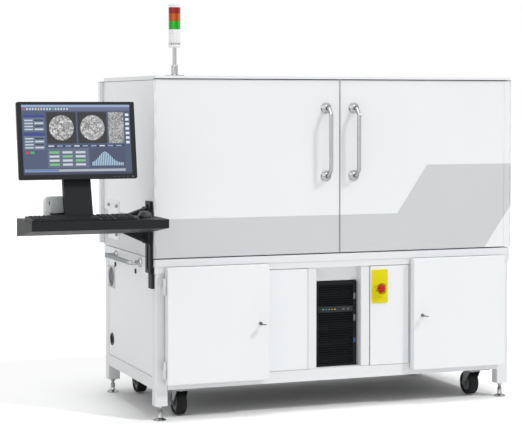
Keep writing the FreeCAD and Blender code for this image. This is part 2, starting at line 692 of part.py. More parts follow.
def fan_rotor():
    """Hub with swept blades, running on the frame's stub."""
    inside = -SIDE_SHEET_FACE + PANEL_SHEET
    parts = [ring(inside + 3, FAN_Y, FAN_Z, 20, 3.0 + RUNNING_GAP, 18, ALONG_X)]
    for blade in range(FAN_BLADES):
        plate = prism([(inside + 4, FAN_Y - 9, FAN_Z + 17), (inside + 6, FAN_Y - 9, FAN_Z + 17),
                       (inside + 20, FAN_Y + 9, FAN_Z + 17), (inside + 18, FAN_Y + 9, FAN_Z + 17)],
                      vec(0, 0, 36))
        plate.rotate(vec(inside, FAN_Y, FAN_Z), ALONG_X, blade * 360.0 / FAN_BLADES)
        parts.append(plate)
    return fused(parts)


def side_latches():
    """Quarter-turn tabs that hold the side sheets under the top rail."""
    tabs = []
    for side in (-1, 1):
        face = side * SIDE_SHEET_FACE
        high = LEG_TOP - LATCH_DROP
        for y in LATCH_YS:
            tab = rounded_block(face, face + side * 8, y - 5, y + 5, high - LATCH_HEIGHT, high, 2.5)
            tabs.append(tab)
    return group(tabs)


def stop_housing():
    """Yellow plate, round base and split guard ring of the emergency stop."""
    half = STOP_PLATE_WIDTH / 2
    low = STOP_PLATE_CENTRE_Z - STOP_PLATE_HEIGHT / 2
    face = FIXED_PANEL_FRONT
    plate = box(STOP_X - half, STOP_X + half, face - 4, face, low, low + STOP_PLATE_HEIGHT)
    edges = [edge for edge in plate.Edges if abs(edge.tangentAt(edge.FirstParameter).y) > 0.9]
    plate = plate.makeFillet(6, edges)
    base = turned([(0, 0), (40, 0), (38, 8), (0, 8)], vec(STOP_X, face - 4, STOP_Z), ALONG_Y * -1)
    height = STOP_GUARD_HEIGHT
    guard = ring(STOP_X, face - height, STOP_Z, STOP_GUARD_RADIUS, STOP_GUARD_RADIUS - 4, height, ALONG_Y)
    window = box(STOP_X - 40, STOP_X + 40, face - height - 1, face - height / 2, STOP_Z - 15, STOP_Z + 15)
    body = fused([plate, base, guard.cut(window)])
    return body.cut(rod(STOP_X, face - 60, STOP_Z, STOP_STEM_RADIUS + RUNNING_GAP, 60, ALONG_Y))


def stop_button():
    """Red mushroom head on its stem."""
    face = FIXED_PANEL_FRONT
    radius = STOP_BUTTON_RADIUS
    high = STOP_HEAD_HEIGHT
    points = [(0, 0), (STOP_STEM_RADIUS, 0), (STOP_STEM_RADIUS, high - 16), (radius, high - 14),
              (radius + 1, high - 9), (radius - 2, high - 4), (radius - 9, high - 1), (0, high)]
    return turned(points, vec(STOP_X, face, STOP_Z), ALONG_Y * -1)


def caster_plate(side, y):
    """Mounting plate with raceway disc, king pin and its retaining collar."""
    x = side * CASTER_X
    half = CASTER_PLATE_HALF
    sheet = CASTER_PLATE_SHEET
    front = FRAME_FRONT + 10 if y < CABINET_DEPTH / 2 else y - half
    back = y + half if y < CABINET_DEPTH / 2 else REAR_FRAME_BACK - 10
    plate = box(x - half, x + half, front, back, BEAM_BOTTOM - sheet, BEAM_BOTTOM)
    collar = RACEWAY_DROP + 6.5
    pin = turned([(0, -collar - 4), (14, -collar - 4), (14, -collar), (KING_PIN_RADIUS, -collar),
                  (KING_PIN_RADIUS, -RACEWAY_DROP), (half / 2, -RACEWAY_DROP), (half / 2 + 2, -sheet),
                  (0, -sheet)], vec(x, y, BEAM_BOTTOM), UP)
    return fused([plate, pin])


def caster_fork(side, y):
    """Pressed fork: top plate on the king pin and two cheeks to the axle."""
    x = side * CASTER_X
    axle_y = y + CASTER_TRAIL
    top = BEAM_BOTTOM - RACEWAY_DROP - 0.5
    sheet = FORK_SHEET
    half = WHEEL_WIDTH / 2 + FORK_CLEARANCE
    plate = rounded_block(x - half - sheet, x + half + sheet, y - 34, y + 40, top - 4.5, top, 8)
    plate = plate.cut(rod(x, y, top - 6, KING_PIN_RADIUS + RUNNING_GAP, 8))
    cheeks = []
    for sign in (-1, 1):
        inner = x + sign * half
        points = [(inner, y - 30, top - 2), (inner, y + 38, top - 2), (inner, axle_y + 15, WHEEL_AXIS_Z),
                  (inner, axle_y + 8, WHEEL_AXIS_Z - 14), (inner, axle_y - 8, WHEEL_AXIS_Z - 14),
                  (inner, axle_y - 16, WHEEL_AXIS_Z)]
        cheeks.append(prism(points, vec(sign * sheet, 0, 0)))
        nut_x = inner + sign * sheet if sign > 0 else inner - 3 * sheet
        cheeks.append(rod(nut_x, axle_y, WHEEL_AXIS_Z, 9, 2 * sheet, ALONG_X))
    axle = rod(x - half - 2, axle_y, WHEEL_AXIS_Z, AXLE_RADIUS, 2 * half + 4, ALONG_X)
    return fused([plate] + cheeks + [axle])


def caster_wheel(side, y):
    """Rubber-tyred wheel with a dished face and a hub, bored for the axle."""
    half = WHEEL_WIDTH / 2
    bore = AXLE_RADIUS + RUNNING_GAP
    rim = WHEEL_RADIUS
    points = [(bore, -half), (18, -half), (20, -half + 6), (rim - 20, -half + 6), (rim - 16, -half + 1),
              (rim - 4, -half + 1), (rim, -half + 7), (rim, half - 7), (rim - 4, half - 1),
              (rim - 16, half - 1), (rim - 20, half - 6), (20, half - 6), (18, half), (bore, half)]
    return turned(points, vec(side * CASTER_X, y + CASTER_TRAIL, WHEEL_AXIS_Z), ALONG_X)


def levelling_foot(side, y):
    """Turned disc, hexagonal neck, threaded stem and lock nut under a leg."""
    x = side * LEG_CENTRE_X
    r = FOOT_STEM_RADIUS
    foot = turned([(0, 0), (FOOT_RADIUS, 0), (FOOT_RADIUS, 4), (22, 9), (12, 14), (10, 27), (r, 27),
                   (r, LEG_BOTTOM + 22), (0, LEG_BOTTOM + 22)], vec(x, y, 0), UP)
    parts = [foot]
    for level, height, radius in ((27, 20, FOOT_HEX_RADIUS), (LEG_BOTTOM - 11, 11, FOOT_HEX_RADIUS + 2)):
        corners = []
        for i in range(6):
            angle = math.radians(60 * i)
            corners.append((x + radius * math.cos(angle), y + radius * math.sin(angle), level))
        parts.append(prism(corners, vec(0, 0, height)))
    return fused(parts)


def enclosure_shell():
    """Lead-lined walls on a recessed plinth, with a jamb round the doors, two windows and a port."""
    wall = SHELL_WALL
    front, back = SHELL_FRONT, CABINET_DEPTH - SHELL_WALL
    low, high = CHAMBER_BOTTOM, CHAMBER_TOP
    inner = HALF - wall
    mouth = HALF - JAMB_WIDTH
    sill_top, head_low = SHELL_BOTTOM + JAMB_WIDTH, SHELL_TOP - JAMB_WIDTH
    walls = [box(-HALF, HALF, front, CABINET_DEPTH, SHELL_BOTTOM, low),
             box(-HALF, HALF, front, CABINET_DEPTH, high, SHELL_TOP),
             box(-mouth, mouth, front, front + wall, low, sill_top),
             box(-mouth, mouth, front, front + wall, head_low, high)]
    for side in (-1, 1):
        walls.append(box(side * mouth, side * inner, front, front + wall, low, high))
    left = box(-HALF, -inner, front, back, low, high)
    port_y = CABINET_DEPTH - PORT_COVER_REAR_MARGIN - PORT_COVER_SIZE / 2
    port_z = PORT_COVER_LEVEL + PORT_COVER_SIZE / 2
    walls.append(left.cut(rod(-HALF, port_y, port_z, SERVICE_PORT_RADIUS, wall, ALONG_X)))
    window_low, window_high = SHELL_BOTTOM + WINDOW_RIM, SHELL_TOP - WINDOW_RIM
    right = box(inner, HALF, front, back, low, high)
    walls.append(right.cut(box(inner, HALF, front + RIGHT_WINDOW_MARGIN, back - RIGHT_WINDOW_MARGIN,
                               window_low, window_high)))
    rear = box(-HALF, HALF, back, CABINET_DEPTH, low, high)
    rear_half = HALF - REAR_WINDOW_MARGIN
    walls.append(rear.cut(box(-rear_half, rear_half, back, CABINET_DEPTH, window_low, window_high)))
    inset = PLINTH_INSET
    walls.append(box(-HALF + inset, HALF - inset, front + inset, CABINET_DEPTH - inset,
                     DECK_TOP, SHELL_BOTTOM))
    return group(walls)


def roof_cover():
    """Flat roof sheet with a folded front lip, over the doors' top edges."""
    top = rounded_block(-HALF, HALF, -ROOF_OVERHANG, CABINET_DEPTH, SHELL_TOP, ROOF_TOP, 4)
    seams = []
    for x in (-HALF / 3, HALF / 3):
        seams.append(box(x - 1, x + 1, SHELL_FRONT, CABINET_DEPTH, ROOF_TOP - 1.5, ROOF_TOP))
    return top.cut(group(seams))


def enclosure_covers():
    """Bolted service covers on the right side and the rear: folded pans with rounded rims."""
    low = SHELL_BOTTOM + COVER_INSET
    high = SHELL_TOP - COVER_INSET + 1
    right = box(HALF, HALF + COVER_THICKNESS, HINGE_SIDE_LEAF + COVER_EDGE_GAP,
                CABINET_DEPTH - COVER_EDGE_GAP, low, high)
    rear = box(-HALF - COVER_THICKNESS, HALF + COVER_THICKNESS, CABINET_DEPTH,
               CABINET_DEPTH + REAR_COVER_DEPTH, low, high)
    sheet = COVER_SHEET
    right_hollow = box(HALF, HALF + COVER_THICKNESS - sheet, HINGE_SIDE_LEAF + COVER_EDGE_GAP + sheet,
                       CABINET_DEPTH - COVER_EDGE_GAP - sheet, low + sheet, high - sheet)
    rear_hollow = box(-HALF - COVER_THICKNESS + sheet, HALF + COVER_THICKNESS - sheet, CABINET_DEPTH,
                      CABINET_DEPTH + REAR_COVER_DEPTH - sheet, low + sheet, high - sheet)
    covers = []
    for cover, hollow, outward in ((right, right_hollow, ALONG_X), (rear, rear_hollow, ALONG_Y)):
        rim = []
        for face in cover.Faces:
            if face.normalAt(0, 0).dot(outward) > 0.9:
                rim = face.Edges
        covers.append(cover.makeFillet(COVER_CORNER, rim).cut(hollow))
    return group(covers)


def port_cover():
    """Cover plate of the service port in the left wall, held by four thumb screws."""
    rear = CABINET_DEPTH - PORT_COVER_REAR_MARGIN
    front = rear - PORT_COVER_SIZE
    low, high = PORT_COVER_LEVEL, PORT_COVER_LEVEL + PORT_COVER_SIZE
    face = -HALF - PORT_COVER_SHEET
    plate = box(face, -HALF, front, rear, low, high)
    corners = [edge for edge in plate.Edges if abs(edge.tangentAt(edge.FirstParameter).x) > 0.9]
    parts = [plate.makeFillet(PORT_COVER_CORNER, corners)]
    r = THUMB_SCREW_RADIUS
    inset = THUMB_SCREW_INSET
    for y in (front + inset, rear - inset):
        for z in (low + inset, high - inset):
            parts.append(turned([(0, 0), (r - 3, 0), (r - 3, 3), (r, 3), (r, 11), (r - 2, 13), (0, 13)],
                                vec(face, y, z), ALONG_X * -1))
    return fused(parts)


def knuckle_levels(moving):
    """Bottom levels of the knuckles that belong to the door, or of those that belong to the shell."""
    pitch = (DOOR_TOP - DOOR_BOTTOM) / KNUCKLE_COUNT
    first = 1 if moving else 0
    return [(DOOR_BOTTOM + i * pitch + KNUCKLE_GAP / 2, pitch - KNUCKLE_GAP)
            for i in range(first, KNUCKLE_COUNT, 2)]


def hinge_side_leaf(side):
    """Shell half of the piano hinge, with its knuckles and the full-length pin."""
    face = side * HALF
    outer = side * (HALF + HINGE_LEAF)
    parts = [box(face, outer, KNUCKLE_RADIUS + 2, HINGE_SIDE_LEAF, DOOR_BOTTOM, DOOR_TOP)]
    for level, length in knuckle_levels(False):
        parts.append(rod(side * HINGE_X, 0, level, KNUCKLE_RADIUS, length))
        parts.append(box(face, outer, 0, KNUCKLE_RADIUS + 2, level, level + length))
    parts.append(rod(side * HINGE_X, 0, DOOR_BOTTOM, HINGE_PIN_RADIUS, DOOR_TOP - DOOR_BOTTOM))
    return fused(parts)


def door_hinge_leaves():
    return group([hinge_side_leaf(-1), hinge_side_leaf(1)])


def front_door(side):
    """Lead-lined door with softened edges and its half of the piano hinge on the front face."""
    near = side * DOOR_MEET_GAP / 2
    far = side * (HALF - DOOR_SIDE_GAP)
    slab = box(near, far, 0, DOOR_THICKNESS, DOOR_BOTTOM, DOOR_TOP)
    edges = [edge for edge in slab.Edges if edge.CenterOfMass.y < 1.0]
    slab = slab.makeFillet(DOOR_CORNER, edges)
    strip_near = side * (HALF - HINGE_STRIP_WIDTH)
    strip_far = side * (HALF - KNUCKLE_RADIUS)
    parts = [slab, box(strip_near, strip_far, -HINGE_LEAF, DOOR_CORNER, DOOR_BOTTOM + 1, DOOR_TOP - 1)]
    bores = []
    for level, length in knuckle_levels(True):
        parts.append(rod(side * HINGE_X, 0, level, KNUCKLE_RADIUS, length))
        parts.append(box(strip_far, side * HINGE_X, -HINGE_LEAF, 0.5, level, level + length))
        bores.append(rod(side * HINGE_X, 0, level - 1, HINGE_PIN_RADIUS + RUNNING_GAP, length + 2))
    return fused(parts).cut(group(bores))


def door_handle(side):
    """Bent tubular pull on two domed flanges."""
    x = side * HANDLE_OFFSET
    high = HANDLE_HIGH
    low = HANDLE_HIGH - HANDLE_SPACING
    reach = -HANDLE_REACH
    knee = reach + HANDLE_SETBACK
    bar = bent_tube([(x, 0, high), (x, knee, high), (x, reach, high - HANDLE_SETBACK),
                     (x, reach, low + HANDLE_SETBACK), (x, knee, low), (x, 0, low)],
                    HANDLE_BEND, HANDLE_BAR_RADIUS)
    parts = [bar]
    height = FLANGE_HEIGHT
    for z in (high, low):
        dome = turned([(0, 0), (FLANGE_RADIUS, 0), (FLANGE_RADIUS, 3), (FLANGE_RADIUS - 4, height * 0.6),
                       (FLANGE_RADIUS - 12, height), (HANDLE_BAR_RADIUS + 1, height + 6), (0, height + 6)],
                      vec(x, 0, z), ALONG_Y * -1)
        parts.append(dome)
    return fused(parts)


def lower_door(side):
    """Folded steel pan with a lock hole and two hinge barrels on its outer edge."""
    sheet = LOWER_DOOR_SHEET
    depth = LOWER_DOOR_DEPTH
    low, high = LOWER_DOOR_BOTTOM, LOWER_DOOR_TOP
    pan = box(side * LOWER_DOOR_INNER, side * LOWER_DOOR_OUTER, -depth, 0, low, high)
    edges = [edge for edge in pan.Edges if edge.CenterOfMass.y < -depth + 1]
    pan = pan.makeFillet(2.5, edges)
    hollow = box(side * (LOWER_DOOR_INNER + sheet), side * (LOWER_DOOR_OUTER - sheet), -depth + sheet, 0,
                 low + sheet, high - sheet)
    pan = pan.cut(hollow)
    lock_x = side * (LOWER_DOOR_INNER + LOCK_OFFSET)
    boss = rod(lock_x, -depth, LOCK_HEIGHT, LOCK_RADIUS + 5, depth, ALONG_Y)
    escutcheon = turned([(0, 0), (LOCK_RADIUS + 4, 0), (LOCK_RADIUS + 2, 3), (0, 3)],
                        vec(lock_x, -depth, LOCK_HEIGHT), ALONG_Y * -1)
    stiffener = box(lock_x - 20, lock_x + 20, -depth + sheet, -depth + sheet + 10, low + 20, high - 20)
    parts = [pan, boss, escutcheon, stiffener]
    bores = [rod(lock_x, -depth - 5, LOCK_HEIGHT, LOCK_RADIUS + RUNNING_GAP, depth + 10, ALONG_Y)]
    for centre in BARREL_CENTRES:
        parts.append(rod(side * BARREL_X, BARREL_Y, centre + BARREL_GAP, BARREL_RADIUS, BARREL_LENGTH))
        parts.append(box(side * (LOWER_DOOR_OUTER - sheet), side * BARREL_X, BARREL_Y - 2, BARREL_Y + 2,
                         centre + BARREL_GAP, centre + BARREL_GAP + BARREL_LENGTH))
        bores.append(rod(side * BARREL_X, BARREL_Y, centre - 5, BARREL_PIN_RADIUS + RUNNING_GAP,
                         BARREL_LENGTH - 2))
    return fused(parts).cut(group(bores))


def lower_door_hinges():
    """Frame halves of the lift-off hinges: barrel, pin, web and a foot on the leg's front."""
    halves = []
    for side in (-1, 1):
        for centre in BARREL_CENTRES:
            low = centre - BARREL_GAP - BARREL_LENGTH
            x = side * BARREL_X
            top = centre - BARREL_GAP
            barrel = rod(x, BARREL_Y, low, BARREL_RADIUS, BARREL_LENGTH)
            pin = rod(x, BARREL_Y, top - 2, BARREL_PIN_RADIUS, BARREL_LENGTH - 10)
            web = box(x - 2, x + 2, BARREL_Y, FRAME_FRONT, low, top)
            foot = box(x - side * 14, x + side * 18, FRAME_FRONT - 3, FRAME_FRONT, low, top)
            halves.append(fused([barrel, pin, web, foot]))
    return group(halves)


def door_lock(side):
    """Lock plug with its key in front and its cam behind."""
    x = side * (LOWER_DOOR_INNER + LOCK_OFFSET)
    front = -LOWER_DOOR_DEPTH - LOCK_FACE
    cam_y = FIXED_PANEL_BACK + 2
    plug = rod(x, front, LOCK_HEIGHT, LOCK_RADIUS, cam_y + 6 - front, ALONG_Y)
    cam = box(x - 9, x + 9, cam_y, cam_y + 3, LOCK_HEIGHT - 9, LOCK_HEIGHT + LOCK_CAM_REACH)
    blade = box(x - 4, x + 4, front - KEY_BLADE, front, LOCK_HEIGHT - 1, LOCK_HEIGHT + 1)
    bow = rod(x, front - KEY_BLADE - KEY_BOW_RADIUS + 2, LOCK_HEIGHT - 1, KEY_BOW_RADIUS, 2)
    hole = rod(x, front - KEY_BLADE - KEY_BOW_RADIUS - 3, LOCK_HEIGHT - 2, 3, 4)
    return fused([plug, cam, blade, bow.cut(hole)])


def beacon_levels():
    """Levels of the beacon's pole, housing, lenses and cap, from the roof up."""
    levels = [ROOF_TOP, ROOF_TOP + BEACON_COLLAR_HEIGHT]
    levels.append(levels[-1] + BEACON_POLE_HEIGHT)
    levels.append(levels[-1] + BEACON_BASE_HEIGHT)
    for height in LENS_HEIGHTS:
        levels.append(levels[-1] + height)
    levels.append(levels[-1] + BEACON_CAP_HEIGHT)
    return levels


def beacon_stand():
    """Flange, collar and pole on the roof."""
    levels = beacon_levels()
    pole = BEACON_POLE_RADIUS
    points = [(0, 0), (BEACON_FLANGE_RADIUS, 0), (BEACON_FLANGE_RADIUS, 4), (17, 7), (15.5, 9),
              (15.5, BEACON_COLLAR_HEIGHT - 2), (14, BEACON_COLLAR_HEIGHT), (pole, BEACON_COLLAR_HEIGHT),
              (pole, levels[2] - ROOF_TOP), (0, levels[2] - ROOF_TOP)]
    return turned(points, vec(BEACON_X, BEACON_Y, ROOF_TOP), UP)


def beacon_housing():
    """White foot with a ring of sound slots, and the domed cap above the lenses."""
    levels = beacon_levels()
    r = BEACON_RADIUS
    height = BEACON_BASE_HEIGHT
    foot = turned([(0, 0), (r - 2, 0), (r, 2), (r, height - 8), (r - 1, height - 7), (r - 1, height),
                   (0, height)], vec(BEACON_X, BEACON_Y, levels[2]), UP)
    slots = []
    for i in range(16):
        slot = box(BEACON_X + r - 3, BEACON_X + r + 2, BEACON_Y - 2, BEACON_Y + 2,
                   levels[2] + 14, levels[2] + 27)
        slot.rotate(vec(BEACON_X, BEACON_Y, 0), UP, i * 22.5)
        slots.append(slot)
    cap = turned([(0, 0), (r, 0), (r, 13), (r - 3, 17), (r - 10, 19), (0, 19)],
                 vec(BEACON_X, BEACON_Y, levels[6]), UP)
    return group([foot.cut(group(slots)), cap])


def beacon_lens(index):
    """One coloured lens ring with a joint groove at its foot."""
    levels = beacon_levels()
    low = levels[3 + index]
    height = LENS_HEIGHTS[index]
    r = BEACON_RADIUS
    return turned([(0, 0), (r - 1, 0), (r - 1, 1.5), (r, 2), (r, height), (0, height)],
                  vec(BEACON_X, BEACON_Y, low), UP)


def computer_case():
    """Tower case with a ventilated rear and rounded upper edges."""
    x0, x1 = COMPUTER_LEFT + 3, COMPUTER_LEFT + COMPUTER_WIDTH - 3
    y0 = COMPUTER_FRONT + BEZEL_DEPTH
    case = box(x0, x1, y0, y0 + COMPUTER_DEPTH, FLOOR_TOP + 6, FLOOR_TOP + COMPUTER_HEIGHT - 3)
    feet = []
    for x in (x0 + 12, x1 - 42):
        for y in (y0 + 20, y0 + COMPUTER_DEPTH - 60):
            feet.append(box(x, x + 30, y, y + 40, FLOOR_TOP, FLOOR_TOP + 6))
    slots = []
    for row in range(10):
        z = FLOOR_TOP + 250 + row * 14
        slots.append(box(x0 + 40, x0 + 140, y0 + COMPUTER_DEPTH - 4, y0 + COMPUTER_DEPTH, z, z + 7))
    return fused([case] + feet).cut(group(slots))


def computer_bezel():
    """Front bezel: rounded cheek frame, wave-ribbed grille and a flush control strip."""
    x0, x1 = COMPUTER_LEFT, COMPUTER_LEFT + COMPUTER_WIDTH
    y0, y1 = COMPUTER_FRONT, COMPUTER_FRONT + BEZEL_DEPTH
    low, high = FLOOR_TOP + 2, FLOOR_TOP + COMPUTER_HEIGHT
    shell = box(x0, x1, y0, y1, low, high)
    uprights = [edge for edge in shell.Edges
                if edge.CenterOfMass.z > high - 1 and abs(edge.CenterOfMass.x - (x0 + x1) / 2) > 10]
    shell = shell.makeFillet(8, uprights)
    grille_x0, grille_x1 = x0 + BEZEL_LEFT, x1 - BEZEL_CHEEK
    grille_low, grille_high = low + 12, high - 20
    recess = box(grille_x0, grille_x1, y0, y0 + 8, grille_low, grille_high)
    pitch = (grille_high - grille_low) / BEZEL_RIBS
    ribs = []
    for i in range(BEZEL_RIBS):
        z = grille_low + i * pitch
        crest = y0 + 1.5 + 1.5 * math.sin(i * 0.9)
        ribs.append(prism([(grille_x0 - 1, y0 + 8.5, z), (grille_x0 - 1, crest, z + pitch * 0.4),
                           (grille_x0 - 1, crest, z + pitch * 0.6), (grille_x0 - 1, y0 + 8.5, z + pitch)],
                          vec(grille_x1 - grille_x0 + 2, 0, 0)))
    strip_low = FLOOR_TOP + STRIP_LEVEL
    strip = box(grille_x0 - 1, grille_x1 + 1, y0 + 1, y0 + 9, strip_low, strip_low + STRIP_HEIGHT)
    return fused([shell.cut(recess), strip] + ribs)


def console_rail():
    """Wall rail with a clamping groove, on a strut bolted to the leg."""
    face = -WALL_RAIL_FACE
    rail = box(face, -HALF, WALL_RAIL_FRONT, WALL_RAIL_BACK, WALL_RAIL_BOTTOM, WALL_RAIL_TOP)
    edges = [edge for edge in rail.Edges if abs(edge.CenterOfMass.x - face) < 0.5]
    rail = rail.makeFillet(3, edges)
    groove = box(face, face + 5, WALL_RAIL_FRONT + 34, WALL_RAIL_BACK - 34, WALL_RAIL_BOTTOM + 20,
                 WALL_RAIL_TOP - 12)
    relief = box(-HALF - HINGE_LEAF - 1, -HALF, 0, HINGE_SIDE_LEAF + 2, SHELL_BOTTOM - 1, WALL_RAIL_TOP)
    strut = box(-HALF - 12, -LEG_OUTER, WALL_RAIL_FRONT - 6, WALL_RAIL_FRONT + 48, STRUT_BOTTOM,
                WALL_RAIL_BOTTOM + 2)
    return fused([rail.cut(groove).cut(relief), strut])


def console_arm():
    """Cast arm: carriage on the wall rail, tapered gusset and a box beam behind the tray."""
    gap = SLIDE_GAP
    face = -WALL_RAIL_FACE - gap
    front, back = WALL_RAIL_FRONT - gap, WALL_RAIL_BACK + gap
    middle = ARM_BOTTOM + ARM_HEIGHT * 0.55
    root_low, root_high = ARM_BOTTOM, ARM_BOTTOM + ARM_HEIGHT
    tip_low, tip_high = middle - ARM_TIP_HEIGHT / 2, middle + ARM_TIP_HEIGHT / 2
    plate = box(face - 14, face, front - 6, back + 6, root_low, root_high)
    lips = [box(face - 1, face + 10, front - 6, front, root_low, root_high),
            box(face - 1, face + 10, back, back + 6, root_low, root_high)]
    tongue = box(face, face + 4, WALL_RAIL_FRONT + 34 + 0.5, WALL_RAIL_BACK - 34 - 0.5,
                 root_low + 10, root_high - 10)
    y0 = WALL_RAIL_FRONT + 10
    knee = face - ARM_TAPER_LENGTH
    tip = face - ARM_LENGTH
    arm = prism([(face - 10, y0, root_low), (knee, y0, tip_low), (tip, y0, tip_low), (tip, y0, tip_high),
                 (knee, y0, tip_high), (face - 10, y0, root_high)], vec(0, ARM_WIDTH, 0))
    pocket = prism([(face - 26, y0, root_low + 24), (knee + 10, y0, tip_low + 12),
                    (knee + 10, y0, tip_high - 12), (face - 26, y0, root_high - 24)], vec(0, 10, 0))
    shelves = []
    for x in (tip + 10, knee - 60):
        shelves.append(box(x, x + 50, 0, y0 + 2, tip_low + 6, tip_high - 6))
    lever = rod(face - 8, -22, root_high - 26, 4, 50, ALONG_Y)
    knob = turned([(0, 0), (5, 0), (7, 5), (7, 14), (5, 18), (0, 18)],
                  vec(face - 8, -34, root_high - 26), ALONG_Y)
    return fused([plate, arm.cut(pocket), tongue, lever, knob] + lips + shelves)


def keyboard_tray():
    """Folded wedge tray, open at the rear, with a rounded front corner."""
    def wedge(left, right, inset, open_back):
        back = 1.0 if open_back else 0.0
        front = -TRAY_DEPTH + inset
        low_front = TRAY_TOP - TRAY_FRONT_HEIGHT + inset
        low_back = TRAY_TOP - TRAY_REAR_HEIGHT + inset
        return prism([(left, front, TRAY_TOP - inset), (left, front, low_front),
                      (left, back, low_back), (left, back, TRAY_TOP - inset)], vec(right - left, 0, 0))
    outer = wedge(TRAY_LEFT, TRAY_RIGHT, 0.0, False)
    rim = [edge for edge in outer.Edges if edge.CenterOfMass.y < -TRAY_DEPTH + 1]
    outer = outer.makeFillet(2, rim)
    return outer.cut(wedge(TRAY_LEFT + TRAY_SHEET, TRAY_RIGHT - TRAY_SHEET, TRAY_SHEET, True))


def key_columns(row):
    """Left edges and widths, in key pitches, of the keys in one row from the front."""
    bottom = [(0, 1.5), (1.5, 1.25), (2.75, 1.25), (4, 6), (10, 1.25), (11.25, 1.25), (12.5, 2.5)]
    if row == 0:
        main = bottom
    else:
        shift = (0.0, 2.25, 1.75, 1.5, 1.0, 1.0)[row]
        count = (0, 10, 11, 12, 12, 12)[row]
        main = [(0, shift)] + [(shift + i, 1) for i in range(count)]
        end = shift + count
        main.append((end, 15 - end))
    pad = [(15.4 + i, 1) for i in range(3)] + [(18.8 + i, 1) for i in range(4)]
    return main + pad


def keyboard():
    """Wedge body with rows of tapered keys."""
    left, right = KEYBOARD_LEFT, KEYBOARD_LEFT + KEYBOARD_WIDTH
    front, back = KEYBOARD_FRONT, KEYBOARD_FRONT + KEYBOARD_DEPTH
    body = prism([(left, front, TRAY_TOP), (left, front, TRAY_TOP + 9), (left, back - 8, TRAY_TOP + 20),
                  (left, back, TRAY_TOP + 20), (left, back, TRAY_TOP)], vec(KEYBOARD_WIDTH, 0, 0))
    slope = 11.0 / (KEYBOARD_DEPTH - 8)
    unit = (KEYBOARD_WIDTH - 24) / 22.8
    keys = []
    for row in range(6):
        y0 = front + 14 + row * KEY_PITCH + (5 if row == 5 else 0)
        base = TRAY_TOP + 8 + slope * (y0 - front)
        for start, width in key_columns(row):
            x0 = left + 12 + start * unit
            x1 = x0 + width * unit - KEY_GAP
            keys.append(key_cap(x0, x1, y0, y0 + KEY_PITCH - KEY_GAP, base))
    return fused([body] + keys)


def key_cap(x0, x1, y0, y1, base):
    """Key cap whose top is smaller than its skirt."""
    top = base + KEY_HEIGHT
    inset = KEY_TAPER
    skirt = Part.makePolygon([vec(x0, y0, base), vec(x1, y0, base), vec(x1, y1, base), vec(x0, y1, base),
                              vec(x0, y0, base)])
    crown = Part.makePolygon([vec(x0 + inset, y0 + inset, top), vec(x1 - inset, y0 + inset, top),
                              vec(x1 - inset, y1 - inset, top), vec(x0 + inset, y1 - inset, top),
                              vec(x0 + inset, y0 + inset, top)])
    return Part.makeLoft([skirt, crown], True, True)


def mouse():
    """Domed mouse: an ellipsoid cut level at its foot."""
    ball = Part.makeSphere(1.0)
    stretch = FreeCAD.Matrix()
    stretch.scale(MOUSE_WIDTH / 2, MOUSE_LENGTH / 2, MOUSE_HEIGHT - MOUSE_WAIST)
    dome = ball.transformGeometry(stretch)
    dome.translate(vec(MOUSE_X, MOUSE_Y, TRAY_TOP + MOUSE_WAIST))
    keep = box(MOUSE_X - MOUSE_WIDTH, MOUSE_X + MOUSE_WIDTH, MOUSE_Y - MOUSE_LENGTH, MOUSE_Y + MOUSE_LENGTH,
               TRAY_TOP, TRAY_TOP + 2 * MOUSE_HEIGHT)
    return dome.common(keep)


def control_pod():
    """Round-shouldered desk unit with a slot across its front foot."""
    left, right = POD_LEFT, POD_LEFT + POD_WIDTH
    front, back = POD_FRONT, POD_FRONT + POD_DEPTH
    body = box(left, right, front, back, TRAY_TOP, TRAY_TOP + POD_HEIGHT)
    shoulders = [edge for edge in body.Edges
                 if edge.CenterOfMass.z > TRAY_TOP + POD_HEIGHT - 1 and abs(edge.CenterOfMass.x
                 - (left + right) / 2) > 10]
    body = body.makeFillet(26, shoulders)
    slot = box(left + 20, right + 1, front, front + 14, TRAY_TOP + 14, TRAY_TOP + 26)
    return body.cut(slot)


def monitor_point(along, depth):
    """Point of the monitor's side profile: height along the screen and depth behind its face."""
    y = MONITOR_BOTTOM_Y + along * math.sin(TILT) + depth * math.cos(TILT)
    z = MONITOR_BOTTOM_Z + along * math.cos(TILT) - depth * math.sin(TILT)
    return y, z


def tilt_axis():
    return monitor_point(TILT_AXIS_HEIGHT, TILT_AXIS_DEPTH)


def monitor_stand():
    """Foot plate and leaning column with a pin fork at its head."""
    half = COLUMN_WIDTH / 2
    x0, x1 = COLUMN_X - half, COLUMN_X + half
    pin_y, pin_z = tilt_axis()
    foot_y = KEYBOARD_FRONT + KEYBOARD_DEPTH + COLUMN_FOOT_GAP
    foot = rounded_block(COLUMN_X - COLUMN_FOOT_WIDTH / 2, COLUMN_X + COLUMN_FOOT_WIDTH / 2, foot_y,
                         foot_y + COLUMN_FOOT_DEPTH, TRAY_TOP, TRAY_TOP + 8, 18)
    top = pin_z + 16
    head_y = pin_y + 17
    thick = COLUMN_THICKNESS
    column = prism([(x0, foot_y, TRAY_TOP + 4), (x0, foot_y + thick + 14, TRAY_TOP + 4),
                    (x0, head_y + thick, top), (x0, head_y, top)], vec(COLUMN_WIDTH, 0, 0))
    parts = [foot, column]
    for side in (-1, 1):
        ear_x = COLUMN_X + side * 40
        parts.append(box(ear_x, ear_x + side * 8, pin_y - 10, head_y + 4, pin_z - 12, pin_z + 12))
    parts.append(rod(COLUMN_X - 44, pin_y, pin_z, TILT_PIN_RADIUS, 88, ALONG_X))
    return fused(parts)


